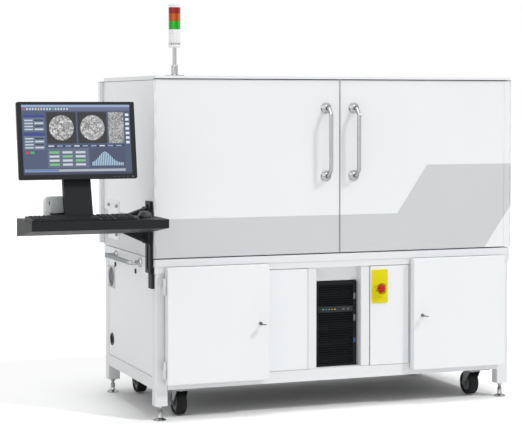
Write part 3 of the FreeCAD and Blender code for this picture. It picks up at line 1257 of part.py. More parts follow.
def monitor():
    """Flat housing with a recessed screen, a raised back and the tilt barrel."""
    half = MONITOR_WIDTH / 2
    pin_y, pin_z = tilt_axis()

    def slab(x0, x1, low, high, near, far):
        corners = [monitor_point(low, near), monitor_point(low, far),
                   monitor_point(high, far), monitor_point(high, near)]
        return prism([(x0, y, z) for y, z in corners], vec(x1 - x0, 0, 0))
    left, right = COLUMN_X - half, COLUMN_X + half
    body = slab(left, right, 0, MONITOR_HEIGHT, 0, MONITOR_THICKNESS * 0.55)
    normal = vec(0, math.cos(TILT), -math.sin(TILT))
    rim = [edge for edge in body.Edges
           if abs(abs(edge.tangentAt(edge.FirstParameter).dot(normal)) - 1) < 0.01]
    body = body.makeFillet(7, rim)
    back = slab(left + 60, right - 60, 40, MONITOR_HEIGHT - 40, MONITOR_THICKNESS * 0.5, MONITOR_THICKNESS)
    bracket = slab(COLUMN_X - 37, COLUMN_X + 37, TILT_AXIS_HEIGHT - 9, TILT_AXIS_HEIGHT + 9,
                   MONITOR_THICKNESS - 2, TILT_AXIS_DEPTH)
    screen = slab(left + BEZEL_SIDE, right - BEZEL_SIDE, BEZEL_CHIN, MONITOR_HEIGHT - BEZEL_TOP,
                  -1, SCREEN_RECESS)
    barrel = rod(COLUMN_X - 38, pin_y, pin_z, 10, 76, ALONG_X)
    body = fused([body.cut(screen), back, bracket, barrel])
    return body.cut(rod(COLUMN_X - 50, pin_y, pin_z, TILT_PIN_RADIUS + RUNNING_GAP, 100, ALONG_X))


def granite_base():
    """Granite block with chamfered edges and lifting bores through its ends."""
    half = GRANITE_LENGTH / 2
    y0, y1 = BEAM_AXIS_Y - GRANITE_DEPTH / 2, BEAM_AXIS_Y + GRANITE_DEPTH / 2
    block = box(-half, half, y0, y1, GRANITE_BOTTOM, GRANITE_TOP)
    block = block.makeChamfer(6, block.Edges)
    bores = [rod(x, y0 - 1, GRANITE_BOTTOM + GRANITE_HEIGHT / 2, 16, 60, ALONG_Y)
             for x in (-half + 120, half - 120)]
    return block.cut(group(bores))


def isolators():
    """Four air-spring isolators under the granite block."""
    feet = []
    r = ISOLATOR_RADIUS
    height = ISOLATOR_HEIGHT
    reach_x = GRANITE_LENGTH / 2 - ISOLATOR_END_INSET
    reach_y = GRANITE_DEPTH / 2 - ISOLATOR_SIDE_INSET
    for x in (-reach_x, reach_x):
        for y in (BEAM_AXIS_Y - reach_y, BEAM_AXIS_Y + reach_y):
            feet.append(turned([(0, 0), (r + 14, 0), (r + 14, 8), (r - 4, 8), (r + 4, height * 0.35),
                                (r - 4, height * 0.55), (r + 4, height * 0.75), (r - 6, height - 4),
                                (r, height), (0, height)], vec(x, y, CHAMBER_BOTTOM), UP))
    return group(feet)


def guide_profile(grow):
    """Side profile of a guide rail as (y, z) pairs about its centre line, grown by a clearance."""
    half = GUIDE_WIDTH / 2 + grow
    waist = half - 5.0
    height = GUIDE_HEIGHT
    return [(-half, 0), (half, 0), (half, height * 0.3), (waist, height * 0.45 + grow),
            (waist, height * 0.65 - grow), (half, height * 0.8), (half, height), (-half, height),
            (-half, height * 0.8), (-waist, height * 0.65 - grow), (-waist, height * 0.45 + grow),
            (-half, height * 0.3)]


def guide_rails():
    """Two profiled linear rails along the beam, with end stops."""
    half = GUIDE_LENGTH / 2
    rails = []
    for y in (BEAM_AXIS_Y - GUIDE_SPACING / 2, BEAM_AXIS_Y + GUIDE_SPACING / 2):
        outline = [(-half, y + dy, GRANITE_TOP + dz) for dy, dz in guide_profile(0.0)]
        rail = prism(outline, vec(GUIDE_LENGTH, 0, 0))
        stops = [box(x, x + 16, y - 22, y + 22, GRANITE_TOP, GUIDE_TOP + 8) for x in (-half - 16, half)]
        rails.append(fused([rail] + stops))
    return group(rails)


def saddle(x, length):
    """Carriage plate on four grooved bearing blocks that wrap the guide rails."""
    half = length / 2
    plate = rounded_block(x - half, x + half, BEAM_AXIS_Y - SADDLE_WIDTH / 2, BEAM_AXIS_Y + SADDLE_WIDTH / 2,
                          SADDLE_BOTTOM, SADDLE_TOP, 10)
    blocks = []
    side = BLOCK_WIDTH / 2
    for y in (BEAM_AXIS_Y - GUIDE_SPACING / 2, BEAM_AXIS_Y + GUIDE_SPACING / 2):
        for start in (x - half + 6, x + half - 6 - BLOCK_LENGTH):
            block = box(start, start + BLOCK_LENGTH, y - side, y + side, GRANITE_TOP + 5, SADDLE_BOTTOM)
            outline = [(start - 1, y + dy, GRANITE_TOP + dz) for dy, dz in guide_profile(0.4)]
            blocks.append(block.cut(prism(outline, vec(BLOCK_LENGTH + 2, 0, 0))))
    return [plate] + blocks


def source_carriage():
    """Saddle with a ribbed pedestal and a round cradle for the tube."""
    x = SOURCE_X
    y = BEAM_AXIS_Y
    foot = cut_profile(x - 100, x + 100, y - 120, y + 120, SADDLE_TOP, 14)
    neck = cut_profile(x - 85, x + 85, y - 80, y + 80, BEAM_AXIS_Z - 40, 10)
    pedestal = Part.makeLoft([foot, neck], True, True)
    seat = rod(x - CRADLE_LENGTH / 2, y, BEAM_AXIS_Z, TUBE_RADIUS + 0.2, CRADLE_LENGTH, ALONG_X)
    window = box(x - 50, x + 50, y - 140, y + 140, SADDLE_TOP + 40, BEAM_AXIS_Z - TUBE_RADIUS - 50)
    clamp = ring(x - 12, y, BEAM_AXIS_Z, TUBE_RADIUS + 10, TUBE_RADIUS + 0.2, 24, ALONG_X)
    return fused(saddle(x, SADDLE_LENGTH) + [pedestal.cut(seat).cut(window), clamp])


def xray_tube():
    """Turned tube body with cooling ribs, a tapered nose and a cable socket at the rear."""
    r = TUBE_RADIUS
    start = SOURCE_X - TUBE_BODY_LENGTH / 2
    points = [(0, 0), (34, 0), (34, 26), (r - 6, 30), (r, 36)]
    for i in range(TUBE_RIBS):
        z = 48 + i * 18
        points += [(r, z), (r - 8, z), (r - 8, z + 8), (r, z + 8)]
    length = TUBE_BODY_LENGTH
    points += [(r, length - 6), (r - 8, length), (TUBE_NOSE_RADIUS + 6, length + TUBE_NOSE_LENGTH - 24),
               (TUBE_NOSE_RADIUS, length + TUBE_NOSE_LENGTH - 18),
               (TUBE_NOSE_RADIUS, length + TUBE_NOSE_LENGTH), (8, length + TUBE_NOSE_LENGTH),
               (8, length + TUBE_NOSE_LENGTH - 4), (0, length + TUBE_NOSE_LENGTH - 4)]
    return turned(points, vec(start, BEAM_AXIS_Y, BEAM_AXIS_Z), ALONG_X)


def stage_carriage():
    """Saddle of the sample stage with two cross guides on it."""
    x = STAGE_X
    parts = saddle(x, STAGE_SADDLE_LENGTH)
    half = CROSS_GUIDE_WIDTH / 2
    reach = CROSS_GUIDE_LENGTH / 2
    for centre in (x - CROSS_GUIDE_SPACING / 2, x + CROSS_GUIDE_SPACING / 2):
        parts.append(box(centre - half, centre + half, BEAM_AXIS_Y - reach, BEAM_AXIS_Y + reach,
                         SADDLE_TOP, SADDLE_TOP + CROSS_GUIDE_HEIGHT))
    return fused(parts)


def stage_cross_slide():
    """Cross plate with grooves over the cross guides, and the lift's upright tower."""
    x, y = STAGE_X, BEAM_AXIS_Y
    low = SADDLE_TOP + 4
    face = y + LIFT_FACE + LIFT_PLATE + SLIDE_GAP
    half = CROSS_PLATE_WIDTH / 2
    front, back = y - CROSS_PLATE_FRONT, face + CROSS_PLATE_TAIL
    plate = rounded_block(x - half, x + half, front, back, low, low + CROSS_PLATE, 8)
    grooves = []
    half = CROSS_GUIDE_WIDTH / 2 + 0.5
    for centre in (x - CROSS_GUIDE_SPACING / 2, x + CROSS_GUIDE_SPACING / 2):
        grooves.append(box(centre - half, centre + half, front - 1, back + 1, low - 1,
                           SADDLE_TOP + CROSS_GUIDE_HEIGHT + SLIDE_GAP))
    top = BEAM_AXIS_Z - TOWER_DROP
    foot = low + CROSS_PLATE - 8
    side = x - TOWER_WIDTH / 2
    tower = prism([(side, face, foot), (side, face + TOWER_FOOT, foot), (side, face + TOWER_HEAD, top),
                   (side, face, top)], vec(TOWER_WIDTH, 0, 0))
    half = LIFT_GUIDE_WIDTH / 2
    guides = [box(centre - half, centre + half, face - 10, face + 1, low + CROSS_PLATE, top)
              for centre in (x - LIFT_GUIDE_SPACING / 2, x + LIFT_GUIDE_SPACING / 2)]
    return fused([plate.cut(group(grooves)), tower] + guides)


def stage_lift():
    """Lift bracket riding on the tower, with ribs and the rotary bearing housing."""
    x, y = STAGE_X, BEAM_AXIS_Y
    low = SADDLE_TOP + LIFT_HEIGHT
    front, back = y + LIFT_FACE, y + LIFT_FACE + LIFT_PLATE
    plate = box(x - 52, x + 52, front, back, low, low + 96)
    half = LIFT_GUIDE_WIDTH / 2 + 0.4
    grooves = [box(centre - half, centre + half, back - 10, back + 1, low - 1, low + 98)
               for centre in (x - LIFT_GUIDE_SPACING / 2, x + LIFT_GUIDE_SPACING / 2)]
    shelf = box(x - 52, x + 52, y - 56, front + 1, low + 10, low + 28)
    ribs = []
    for side in (-1, 1):
        rib_x = x + side * 52
        ribs.append(prism([(rib_x, y - 50, low + 12), (rib_x, front + 1, low),
                           (rib_x, front + 1, low + 12)], vec(-side * 8, 0, 0)))
    housing = ring(x, y, low + 28, 50, 30 + RUNNING_GAP, 22)
    return fused([plate.cut(group(grooves)), shelf, housing] + ribs)


def rotary_table():
    """Rotor with a graduated flange, sample post, pin vice and a small sample."""
    low = SADDLE_TOP + LIFT_HEIGHT + 28
    rise = BEAM_AXIS_Z - low
    points = [(0, 1), (30, 1), (30, 23), (47, 23), (47, 33), (26, 36), (20, 52), (12, 60), (12, rise - 32),
              (7, rise - 26), (7, rise - 12), (3, rise - 8), (3, rise + 8), (0, rise + 8)]
    table = turned(points, vec(STAGE_X, BEAM_AXIS_Y, low), UP)
    notches = []
    for i in range(12):
        notch = box(STAGE_X + 44.5, STAGE_X + 50, BEAM_AXIS_Y - 1, BEAM_AXIS_Y + 1, low + 26, low + 34)
        notch.rotate(vec(STAGE_X, BEAM_AXIS_Y, 0), UP, i * 30)
        notches.append(notch)
    return table.cut(group(notches))


def detector_carriage():
    """Saddle, arched pedestal and the camera box with the turret's spindle."""
    x, y = DETECTOR_X, BEAM_AXIS_Y
    turret_z = BEAM_AXIS_Z + TURRET_PITCH_RADIUS
    foot = cut_profile(x - 100, x + 110, y - 120, y + 120, SADDLE_TOP, 14)
    neck = cut_profile(x - 70, x + 110, y - 85, y + 85, BEAM_AXIS_Z - 88, 10)
    pedestal = Part.makeLoft([foot, neck], True, True)
    window = box(x - 40, x + 60, y - 140, y + 140, SADDLE_TOP + 34, BEAM_AXIS_Z - 140)
    near = TURRET_FACE_X + TURRET_THICKNESS + 6
    camera = rounded_block(near, x + 130, y - 95, y + 95, BEAM_AXIS_Z - 90, turret_z + 80, 8)
    fins = [box(x + 60 + i * 16, x + 66 + i * 16, y - 100, y + 100, turret_z + 60, turret_z + 96)
            for i in range(4)]
    spindle = rod(TURRET_FACE_X + 4, y, turret_z, 24, near - TURRET_FACE_X, ALONG_X)
    eye = rod(near - 4, y, BEAM_AXIS_Z, 18, 6, ALONG_X)
    return fused(saddle(x, SADDLE_LENGTH) + [pedestal.cut(window), camera, spindle, eye] + fins)


def objective_turret():
    """Indexing disc with four objectives of different power around it."""
    y = BEAM_AXIS_Y
    centre_z = BEAM_AXIS_Z + TURRET_PITCH_RADIUS
    x = TURRET_FACE_X
    disc = rod(x, y, centre_z, TURRET_RADIUS, TURRET_THICKNESS, ALONG_X)
    disc = disc.makeChamfer(3, [edge for edge in disc.Edges if len(edge.Vertexes) == 1])
    parts = [disc]
    bores = [rod(x - 1, y, centre_z, 24 + RUNNING_GAP, TURRET_THICKNESS + 2, ALONG_X)]
    for i, (length, radius) in enumerate(zip(OBJECTIVE_LENGTHS, OBJECTIVE_RADII)):
        angle = math.radians(90 * i - 90)
        oy = y + TURRET_PITCH_RADIUS * math.cos(angle)
        oz = centre_z + TURRET_PITCH_RADIUS * math.sin(angle)
        parts.append(turned([(0, -2), (radius, -2), (radius, length * 0.45), (radius * 0.9, length * 0.5),
                             (radius * 0.9, length * 0.7), (radius * 0.45, length), (0, length)],
                            vec(x, oy, oz), ALONG_X * -1))
        bores.append(rod(x + TURRET_THICKNESS - 12, oy, oz, 12, 14, ALONG_X))
        edge = math.radians(90 * i - 45)
        bores.append(rod(x - 1, y + TURRET_RADIUS * math.cos(edge), centre_z + TURRET_RADIUS * math.sin(edge),
                         7, TURRET_THICKNESS + 2, ALONG_X))
    return fused(parts).cut(group(bores))


def build():
    """All pieces by name, in the working frame."""
    nodes = {
        "base_frame": base_frame(),
        "base_deck": base_deck(),
        "base_panels": base_panels(),
        "grab_bars": group([grab_bar(-1), grab_bar(1)]),
        "cable_port": cable_port(),
        "fan_guard": fan_guard(),
        "fan_rotor": fan_rotor(),
        "side_latches": side_latches(),
        "stop_housing": stop_housing(),
        "stop_button": stop_button(),
        "enclosure_shell": enclosure_shell(),
        "roof_cover": roof_cover(),
        "enclosure_covers": enclosure_covers(),
        "port_cover": port_cover(),
        "door_hinge_leaves": door_hinge_leaves(),
        "lower_door_hinges": lower_door_hinges(),
        "beacon_stand": beacon_stand(),
        "beacon_housing": beacon_housing(),
        "lens_green": beacon_lens(0),
        "lens_amber": beacon_lens(1),
        "lens_red": beacon_lens(2),
        "computer_case": computer_case(),
        "computer_bezel": computer_bezel(),
        "console_rail": console_rail(),
        "console_arm": console_arm(),
        "keyboard_tray": keyboard_tray(),
        "keyboard": keyboard(),
        "mouse": mouse(),
        "control_pod": control_pod(),
        "monitor_stand": monitor_stand(),
        "monitor": monitor(),
        "granite_base": granite_base(),
        "isolators": isolators(),
        "guide_rails": guide_rails(),
        "source_carriage": source_carriage(),
        "xray_tube": xray_tube(),
        "stage_carriage": stage_carriage(),
        "stage_cross_slide": stage_cross_slide(),
        "stage_lift": stage_lift(),
        "rotary_table": rotary_table(),
        "detector_carriage": detector_carriage(),
        "objective_turret": objective_turret(),
    }
    for name, side in (("left", -1), ("right", 1)):
        nodes["front_door_" + name] = front_door(side)
        nodes["door_handle_" + name] = door_handle(side)
        nodes["lower_door_" + name] = lower_door(side)
        nodes["door_lock_" + name] = door_lock(side)
    plates = []
    feet = []
    for depth, y, foot_y in (("front", CASTER_FRONT_Y, FRAME_FRONT + LEG_DEPTH / 2),
                             ("rear", CASTER_REAR_Y, REAR_FRAME_BACK - LEG_DEPTH / 2)):
        for name, side in (("left", -1), ("right", 1)):
            nodes["caster_fork_%s_%s" % (depth, name)] = caster_fork(side, y)
            nodes["caster_wheel_%s_%s" % (depth, name)] = caster_wheel(side, y)
            plates.append(caster_plate(side, y))
            feet.append(levelling_foot(side, foot_y))
    nodes["caster_plates"] = group(plates)
    nodes["levelling_feet"] = group(feet)
    return nodes


def footprint_shift(nodes):
    """Move that puts the origin at the middle of the footprint, on the floor."""
    whole = FreeCAD.BoundBox()
    for shape in nodes.values():
        whole.add(shape.optimalBoundingBox(False))
    return vec(-whole.Center.x, -whole.Center.y, -whole.ZMin)


NODES = build()
SHIFT = footprint_shift(NODES)
os.makedirs("parts", exist_ok=True)
for node_name, node_shape in NODES.items():
    node_shape.translate(SHIFT)
    node_shape.exportStep("parts/" + node_name + ".step")
print("shift", SHIFT, "nodes", len(NODES))
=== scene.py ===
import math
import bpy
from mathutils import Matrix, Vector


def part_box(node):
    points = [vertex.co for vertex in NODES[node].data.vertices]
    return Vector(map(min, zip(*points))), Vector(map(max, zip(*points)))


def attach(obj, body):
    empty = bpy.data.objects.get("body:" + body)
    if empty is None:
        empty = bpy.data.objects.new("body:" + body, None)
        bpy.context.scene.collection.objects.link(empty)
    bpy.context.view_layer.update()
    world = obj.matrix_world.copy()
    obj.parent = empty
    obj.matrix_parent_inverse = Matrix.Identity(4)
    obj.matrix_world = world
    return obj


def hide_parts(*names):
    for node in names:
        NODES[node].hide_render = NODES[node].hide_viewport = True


bl_info = {
    "name": "X-ray microscope",
    "version": (1, 0, 0),
    "blender": (4, 5, 0),
    "location": "View3D > Sidebar > Microscope",
    "description": "Dresses the cabinet, base, console and inner axis with finishes and fine pieces",
    "category": "Object",
}

import bmesh
import bpy
from mathutils import Vector

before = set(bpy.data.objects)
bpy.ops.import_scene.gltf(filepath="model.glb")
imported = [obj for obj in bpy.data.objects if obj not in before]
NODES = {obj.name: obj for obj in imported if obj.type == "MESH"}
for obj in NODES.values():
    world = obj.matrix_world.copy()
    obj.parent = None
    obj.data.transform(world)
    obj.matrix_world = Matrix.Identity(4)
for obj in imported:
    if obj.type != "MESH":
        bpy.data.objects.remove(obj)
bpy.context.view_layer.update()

# Planes of the cabinet, read from the frame in metres
ROOF_LOW, ROOF_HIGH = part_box("roof_cover")
ROOF_LIP = 0.006
MIDDLE_X = (ROOF_LOW.x + ROOF_HIGH.x) / 2
FRONT_Y = ROOF_LOW.y + ROOF_LIP
HALF_WIDTH = (ROOF_HIGH.x - ROOF_LOW.x) / 2
SHELL_LOW, SHELL_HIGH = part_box("enclosure_shell")
COVERS_LOW, COVERS_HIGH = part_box("enclosure_covers")


def middle(name):
    """Middle of a node's box."""
    low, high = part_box(name)
    return (low + high) / 2


def nodes_named(start):
    """Names of the nodes that start alike, in order."""
    return [name for name in sorted(NODES) if name.startswith(start)]


# Sizes and colours that a user would change

def linear(rgb):
    """Linear colour of a display colour written from 0 to 255."""
    shares = [value / 255 for value in rgb]
    return tuple(s / 12.92 if s <= 0.04045 else ((s + 0.055) / 1.055) ** 2.4 for s in shares)


def colour_property(label, about, rgb):
    """Colour property whose default is written in display values from 0 to 255."""
    return bpy.props.FloatVectorProperty(name=label, description=about, default=linear(rgb), size=3,
                                         min=0.0, max=1.0, subtype="COLOR")


def number_property(label, about, value, **kind):
    """Number property; kind gives its unit or subtype."""
    return bpy.props.FloatProperty(name=label, description=about, default=value, **kind)


def length_property(label, about, metres):
    return number_property(label, about, metres, unit="LENGTH", subtype="DISTANCE")


def angle_property(label, about, degrees):
    return number_property(label, about, math.radians(degrees), subtype="ANGLE")


class PaintSettings(bpy.types.PropertyGroup):
    """Colours of the painted sheet metal."""
    white: colour_property("Cabinet white", "Powder coat of doors, roof and covers", (233, 235, 237))
    band: colour_property("Band grey", "Band across the doors and the side walls", (202, 204, 206))
    frame_white: colour_property("Frame white", "Powder coat of the base frame and deck", (228, 229, 231))
    panel_white: colour_property("Panel white", "Powder coat of the base panels", (232, 234, 236))
    dark: colour_property("Console dark", "Paint of the tray, arm and wall rail", (34, 36, 38))


class BandSettings(bpy.types.PropertyGroup):
    """Outline of the grey band, from the cabinet's middle and the floor."""
    foot: length_property("Foot", "Lower edge of the band", 0.805)
    low_top: length_property("Low top", "Upper edge on the left part", 1.011)
    high_top: length_property("High top", "Upper edge on the right part", 1.264)
    step_start: length_property("Step start", "Where the upper edge starts to climb", 0.329)
    step_end: length_property("Step end", "Where the upper edge ends its climb", 0.502)
    cut_start: length_property("Cut start", "Where the lower right corner is cut off", 0.838)
    cut_slope: number_property("Cut slope", "Rise over run of the corner's cut", 1.408)


class StageSettings(bpy.types.PropertyGroup):
    """Camera, lamps and backdrop."""
    eye: bpy.props.FloatVectorProperty(name="Eye", description="Camera from the cabinet's middle front",
                                       default=(-3.3984, -7.7807, 1.5918), size=3,
                                       subtype="TRANSLATION", unit="LENGTH")
    yaw: angle_property("Yaw", "Turn of the view to the right", 20.8438)
    pitch: angle_property("Pitch", "Downward tilt of the view", 2.0004)
    lens: number_property("Lens", "Focal length in millimetres", 113.171, unit="CAMERA")
    shift: number_property("Shift", "Vertical shift of the lens", -0.10)
    walls: number_property("Walls", "Strength of the light from the horizon", 0.53)
    ceiling: number_property("Ceiling", "Strength of the light from above", 0.62)
    key: number_property("Key", "Strength of the lamp at the front right", 1.08)
    key_width: angle_property("Key width", "Apparent width of the front right lamp", 8)
    top: number_property("Top", "Strength of the wide lamp overhead", 0.74)
    top_width: angle_property("Top width", "Apparent width of the overhead lamp", 26)
    fill: number_property("Fill", "Strength of the wide lamp at the left", 0.36)
    fill_width: angle_property("Fill width", "Apparent width of the left lamp", 60)


SETTINGS = {"microscope_paint": PaintSettings, "microscope_band": BandSettings,
            "microscope_stage": StageSettings}


# Shader expressions

def overload(operation, reflected=False):
    """Method of Field that adds one Math node."""
    def method(self, *other):
        return self.math(operation, *other, self) if reflected else self.math(operation, self, *other)
    return method


class Field:
    """A shader socket on which Python arithmetic adds Math nodes."""

    def __init__(self, wiring, socket):
        self.wiring = wiring
        self.socket = socket

    def math(self, operation, *values, clamp=False):
        settings = {"operation": operation, "use_clamp": clamp}
        return self.wiring.node("ShaderNodeMath", settings, dict(enumerate(values)))

    def clamped(self):
        return self.math("ADD", self, 0.0, clamp=True)

    __add__, __radd__ = overload("ADD"), overload("ADD", True)
    __sub__, __rsub__ = overload("SUBTRACT"), overload("SUBTRACT", True)
    __mul__, __rmul__ = overload("MULTIPLY"), overload("MULTIPLY", True)
    __gt__, __lt__ = overload("GREATER_THAN"), overload("LESS_THAN")
    __abs__, sine = overload("ABSOLUTE"), overload("SINE")


class Wiring:
    """The nodes of one shader tree."""

    def __init__(self, tree):
        self.tree = tree
        self.tree.nodes.clear()

    def node(self, kind, settings=None, inputs=None, output=0):
        """Adds a node: its settings first, then the values or links of its sockets."""
        made = self.tree.nodes.new(kind)
        for name, value in (settings or {}).items():
            setattr(made, name, value)
        for socket, value in (inputs or {}).items():
            self.feed(made.inputs[socket], value)
        return Field(self, made.outputs[output])

    def feed(self, socket, value):
        if isinstance(value, Field):
            self.tree.links.new(value.socket, socket)
        elif socket.type == "RGBA":
            socket.default_value = (*tuple(value)[:3], 1.0)
        else:
            socket.default_value = value

    def close(self, kind, shader):
        """Ends the tree in its output node."""
        self.feed(self.tree.nodes.new(kind).inputs["Surface"], shader)


class Finish(Wiring):
    """One material, built from a Principled shader and the nodes that feed it."""

    def __init__(self, name):
        self.material = bpy.data.materials.new(name)
        self.material.use_nodes = True
        super().__init__(self.material.node_tree)
        self.shader = self.tree.nodes.new("ShaderNodeBsdfPrincipled")
        self.close("ShaderNodeOutputMaterial", Field(self, self.shader.outputs[0]))
        self.place = self.node("ShaderNodeTexCoord", output="Object")

    def surface(self, **sockets):
        """Sets the Principled shader's sockets: base_color becomes Base Color."""
        for name, value in sockets.items():
            self.feed(self.shader.inputs[name.replace("_", " ").title().replace("Ior", "IOR")], value)
        return self.material

    def textured(self, tone, grain, roughness, relief, raised=None, **sockets):
        """Sets a tone and a relief: the grain's share in the roughness, the bump's strength and height."""
        share, strength, height = relief
        bump = {"Strength": strength, "Distance": height, "Height": raised or grain}
        return self.surface(base_color=tone, roughness=roughness + share * grain,
                            normal=self.node("ShaderNodeBump", None, bump), **sockets)

    def axes(self, letters):
        return [self.node("ShaderNodeSeparateXYZ", None, {0: self.place}, letter) for letter in letters]

    def noise(self, scale, detail, roughness=0.5, place=None):
        sockets = {"Vector": place or self.place, "Scale": scale, "Detail": detail, "Roughness": roughness}
        return self.node("ShaderNodeTexNoise", None, sockets)

    def cells(self, scale, output, settings=None):
        sockets = {"Vector": self.place, "Scale": scale}
        return self.node("ShaderNodeTexVoronoi", settings, sockets, output)

    def cell_grey(self, scale):
        """A random value in each cell."""
        return self.node("ShaderNodeSeparateColor", None, {0: self.cells(scale, "Color")}, 0)

    def mix(self, share, first, second):
        return self.node("ShaderNodeMix", {"data_type": "RGBA"}, {0: share, 6: first, 7: second}, 2)

    def clouded(self, colour, scale=2.6, spread=0.02):
        """Colour that drifts very slightly over the surface."""
        cloud = self.noise(scale, 3.0)
        return self.mix(cloud, shaded(colour, 1.0 - spread), shaded(colour, 1.0 + spread))


def shaded(colour, share):
    """Colour made darker or lighter by a share."""
    return tuple(min(1.0, channel * share) for channel in tuple(colour)[:3])


def distance(first, second):
    """Length of the step with two sides."""
    total = first * first + second * second
    return total.math("SQRT", total)


def bearing(x, y, centre):
    """Angle round an upright axis."""
    return x.math("ARCTAN2", y - centre.y, x - centre.x)


# Grains, each the scale and detail of a noise
PEEL = (520.0, 3.0)
MOULD_GRAIN = (1400.0, 2.0)
HAZE = (60.0, 4.0)

# Reliefs, each a share in the roughness, a bump's strength and its height
PEEL_RELIEF = (0.08, 0.18, 0.0003)
MOULD_RELIEF = (0.12, 0.35, 0.0002)

# Colours that more than one finish shares
CHROME_EDGE = (0.10, 0.11, 0.12)
# Painted shade grey, used for the gap round the left wall's sheet and for the base's underside
SHADOW_GREY = linear((70, 72, 74))


def powder_coat(name, colour, roughness=0.42, shine=0.4):
    """Sprayed and baked paint with a fine orange-peel grain."""
    finish = Finish(name)
    return finish.textured(finish.clouded(colour), finish.noise(*PEEL), roughness, PEEL_RELIEF,
                           specular_ior_level=shine)


def coat_with_shaded_underside(name, colour, underside_shade, level):
    """Powder coat over the top and sides; under a level, a dark grey of painted shade that deepens the
    shadow under the machine.
    """
    finish = Finish(name)
    [z] = finish.axes("Z")
    # painted shade: faces under the level take the dark grey
    tone = finish.mix(z < level, finish.clouded(colour), finish.clouded(underside_shade))
    return finish.textured(tone, finish.noise(*PEEL), 0.45, PEEL_RELIEF, specular_ior_level=0.4)


def banded_coat(name, paint, band):
    """Cabinet paint with the grey band laid out from the floor and the cabinet's middle."""
    finish = Finish(name)
    x, y, z = finish.axes("XYZ")
    across = x - MIDDLE_X
    climb = ((across - band.step_start) * (1 / (band.step_end - band.step_start))).clamped()
    top = band.low_top + climb * (band.high_top - band.low_top)
    cut = (across.math("MINIMUM", across, HALF_WIDTH) - band.cut_start) * band.cut_slope + band.foot
    mask = (z < top) * (z > band.foot) * (z > cut) * outer_faces(x, y)
    # painted shade: the gap round the left wall's sheet is darkened to shadow grey
    gap_shade_mask = painted_wall_gap(x, y, z)
    painted = finish.mix(mask, finish.clouded(paint.white), finish.clouded(paint.band))
    peel = finish.noise(*PEEL)
    return finish.textured(finish.mix(gap_shade_mask, painted, SHADOW_GREY), peel, 0.36, PEEL_RELIEF,
                           raised=peel - gap_shade_mask, specular_ior_level=0.4)


def outer_faces(x, y):
    """One on the doors' fronts and edges and on the outer sides of the walls, as far as the rear cover."""
    skin, cover_skin = 0.002, 0.001
    fronts = y < FRONT_Y + skin
    left = x < SHELL_LOW.x + skin
    right = x > SHELL_HIGH.x - skin
    return (fronts + left + right).clamped() * (y < SHELL_HIGH.y - cover_skin)


def painted_wall_gap(x, y, z):
    """Painted shade of the shadow gap along the rear and upper edges of the left wall's sheet; the same mask
    also grooves the bump.
    """
    inset, width, skin = 0.008, 0.0016, 0.0005
    left = x < SHELL_LOW.x + skin
    rear = abs(y - (SHELL_HIGH.y - inset)) < width
    upper = abs(z - (SHELL_HIGH.z - inset)) < width
    return left * (rear + upper).clamped()


def polished_chrome(name, tone=0.54, edge=CHROME_EDGE):
    """Bright plated metal with faint polishing haze, darker where it turns away."""
    finish = Finish(name)
    haze = finish.noise(*HAZE)
    colour = finish.mix(haze, shaded((0.9, 0.92, 0.95), tone), shaded((1.1, 1.11, 1.12), tone))
    return finish.surface(base_color=colour, metallic=1.0, specular_tint=edge,
                          roughness=0.07 + haze * 0.10)


def plated_steel(name, rgb, roughness=0.34):
    """Zinc-plated or stainless steel with a fine drawn grain."""
    finish = Finish(name)
    colour = linear(rgb)
    drawn = finish.node("ShaderNodeVectorMath", {"operation": "MULTIPLY"},
                        {0: finish.place, 1: (40.0, 40.0, 600.0)})
    grain = finish.noise(5.0, 4.0, place=drawn)
    tone = finish.mix(grain, shaded(colour, 0.82), shaded(colour, 1.12))
    return finish.textured(tone, grain, roughness - 0.1, relief=(0.2, 0.12, 0.0002), metallic=1.0)


def rubber(name, colour=(0.022, 0.022, 0.024)):
    """Matt rubber with a fine moulded grain and a little dust."""
    finish = Finish(name)
    dust = finish.noise(14.0, 4.0)
    tone = finish.mix(dust, colour, shaded(colour, 2.1))
    return finish.textured(tone, dust, roughness=0.62, relief=(0.25, 0.3, 0.0004),
                           raised=finish.noise(900.0, 3.0), specular_ior_level=0.25)


def moulded_plastic(name, rgb, roughness=0.42, shine=0.4):
    """Injection-moulded plastic with an eroded texture."""
    finish = Finish(name)
    return finish.textured(finish.clouded(linear(rgb), 6.0, 0.05), finish.noise(*MOULD_GRAIN), roughness,
                           MOULD_RELIEF, specular_ior_level=shine)


def fluted_lens(name, rgb, centre):
    """Coloured lens with broad inner prisms and fine flutes; its colour is painted lighter and darker along
    them as painted glints and shade, and the flutes also give a bump.
    """
    finish = Finish(name)
    x, y = finish.axes("XY")
    around = bearing(x, y, centre)
    flute = (around * 36.0).sine() * 0.5 + 0.5
    prism = (around * 6.0 + 1.2).sine() * 0.5 + 0.5
    colour = linear(rgb)
    # painted glints and shade: lit and shaded copies of the lens colour along the prisms and flutes
    tone = finish.mix(flute * 0.25 + prism * 0.75, shaded(colour, 0.5), shaded(colour, 1.35))
    return finish.textured(tone, flute, roughness=0.14, relief=(0.1, 0.25, 0.0006),
                           specular_ior_level=0.3, coat_weight=0.15, coat_roughness=0.08)


def vented_housing(name, rgb, centre, low, high):
    """White housing with a ring of small vents between two levels; the vents' dark grey is painted shade
    inside them.
    """
    finish = Finish(name)
    x, y, z = finish.axes("XYZ")
    slots = ((bearing(x, y, centre) * 18.0).sine() > 0.1) * (z > low) * (z < high)
    grain = finish.noise(*MOULD_GRAIN)
    # painted shade: the vent slots are dark grey, standing for the shade inside them
    tone = finish.mix(slots, finish.clouded(linear(rgb), 6.0, 0.03), linear((96, 97, 99)))
    return finish.textured(tone, grain, roughness=0.3, relief=(0.12, 0.3, 0.0004),
                           raised=grain * 0.3 - slots)


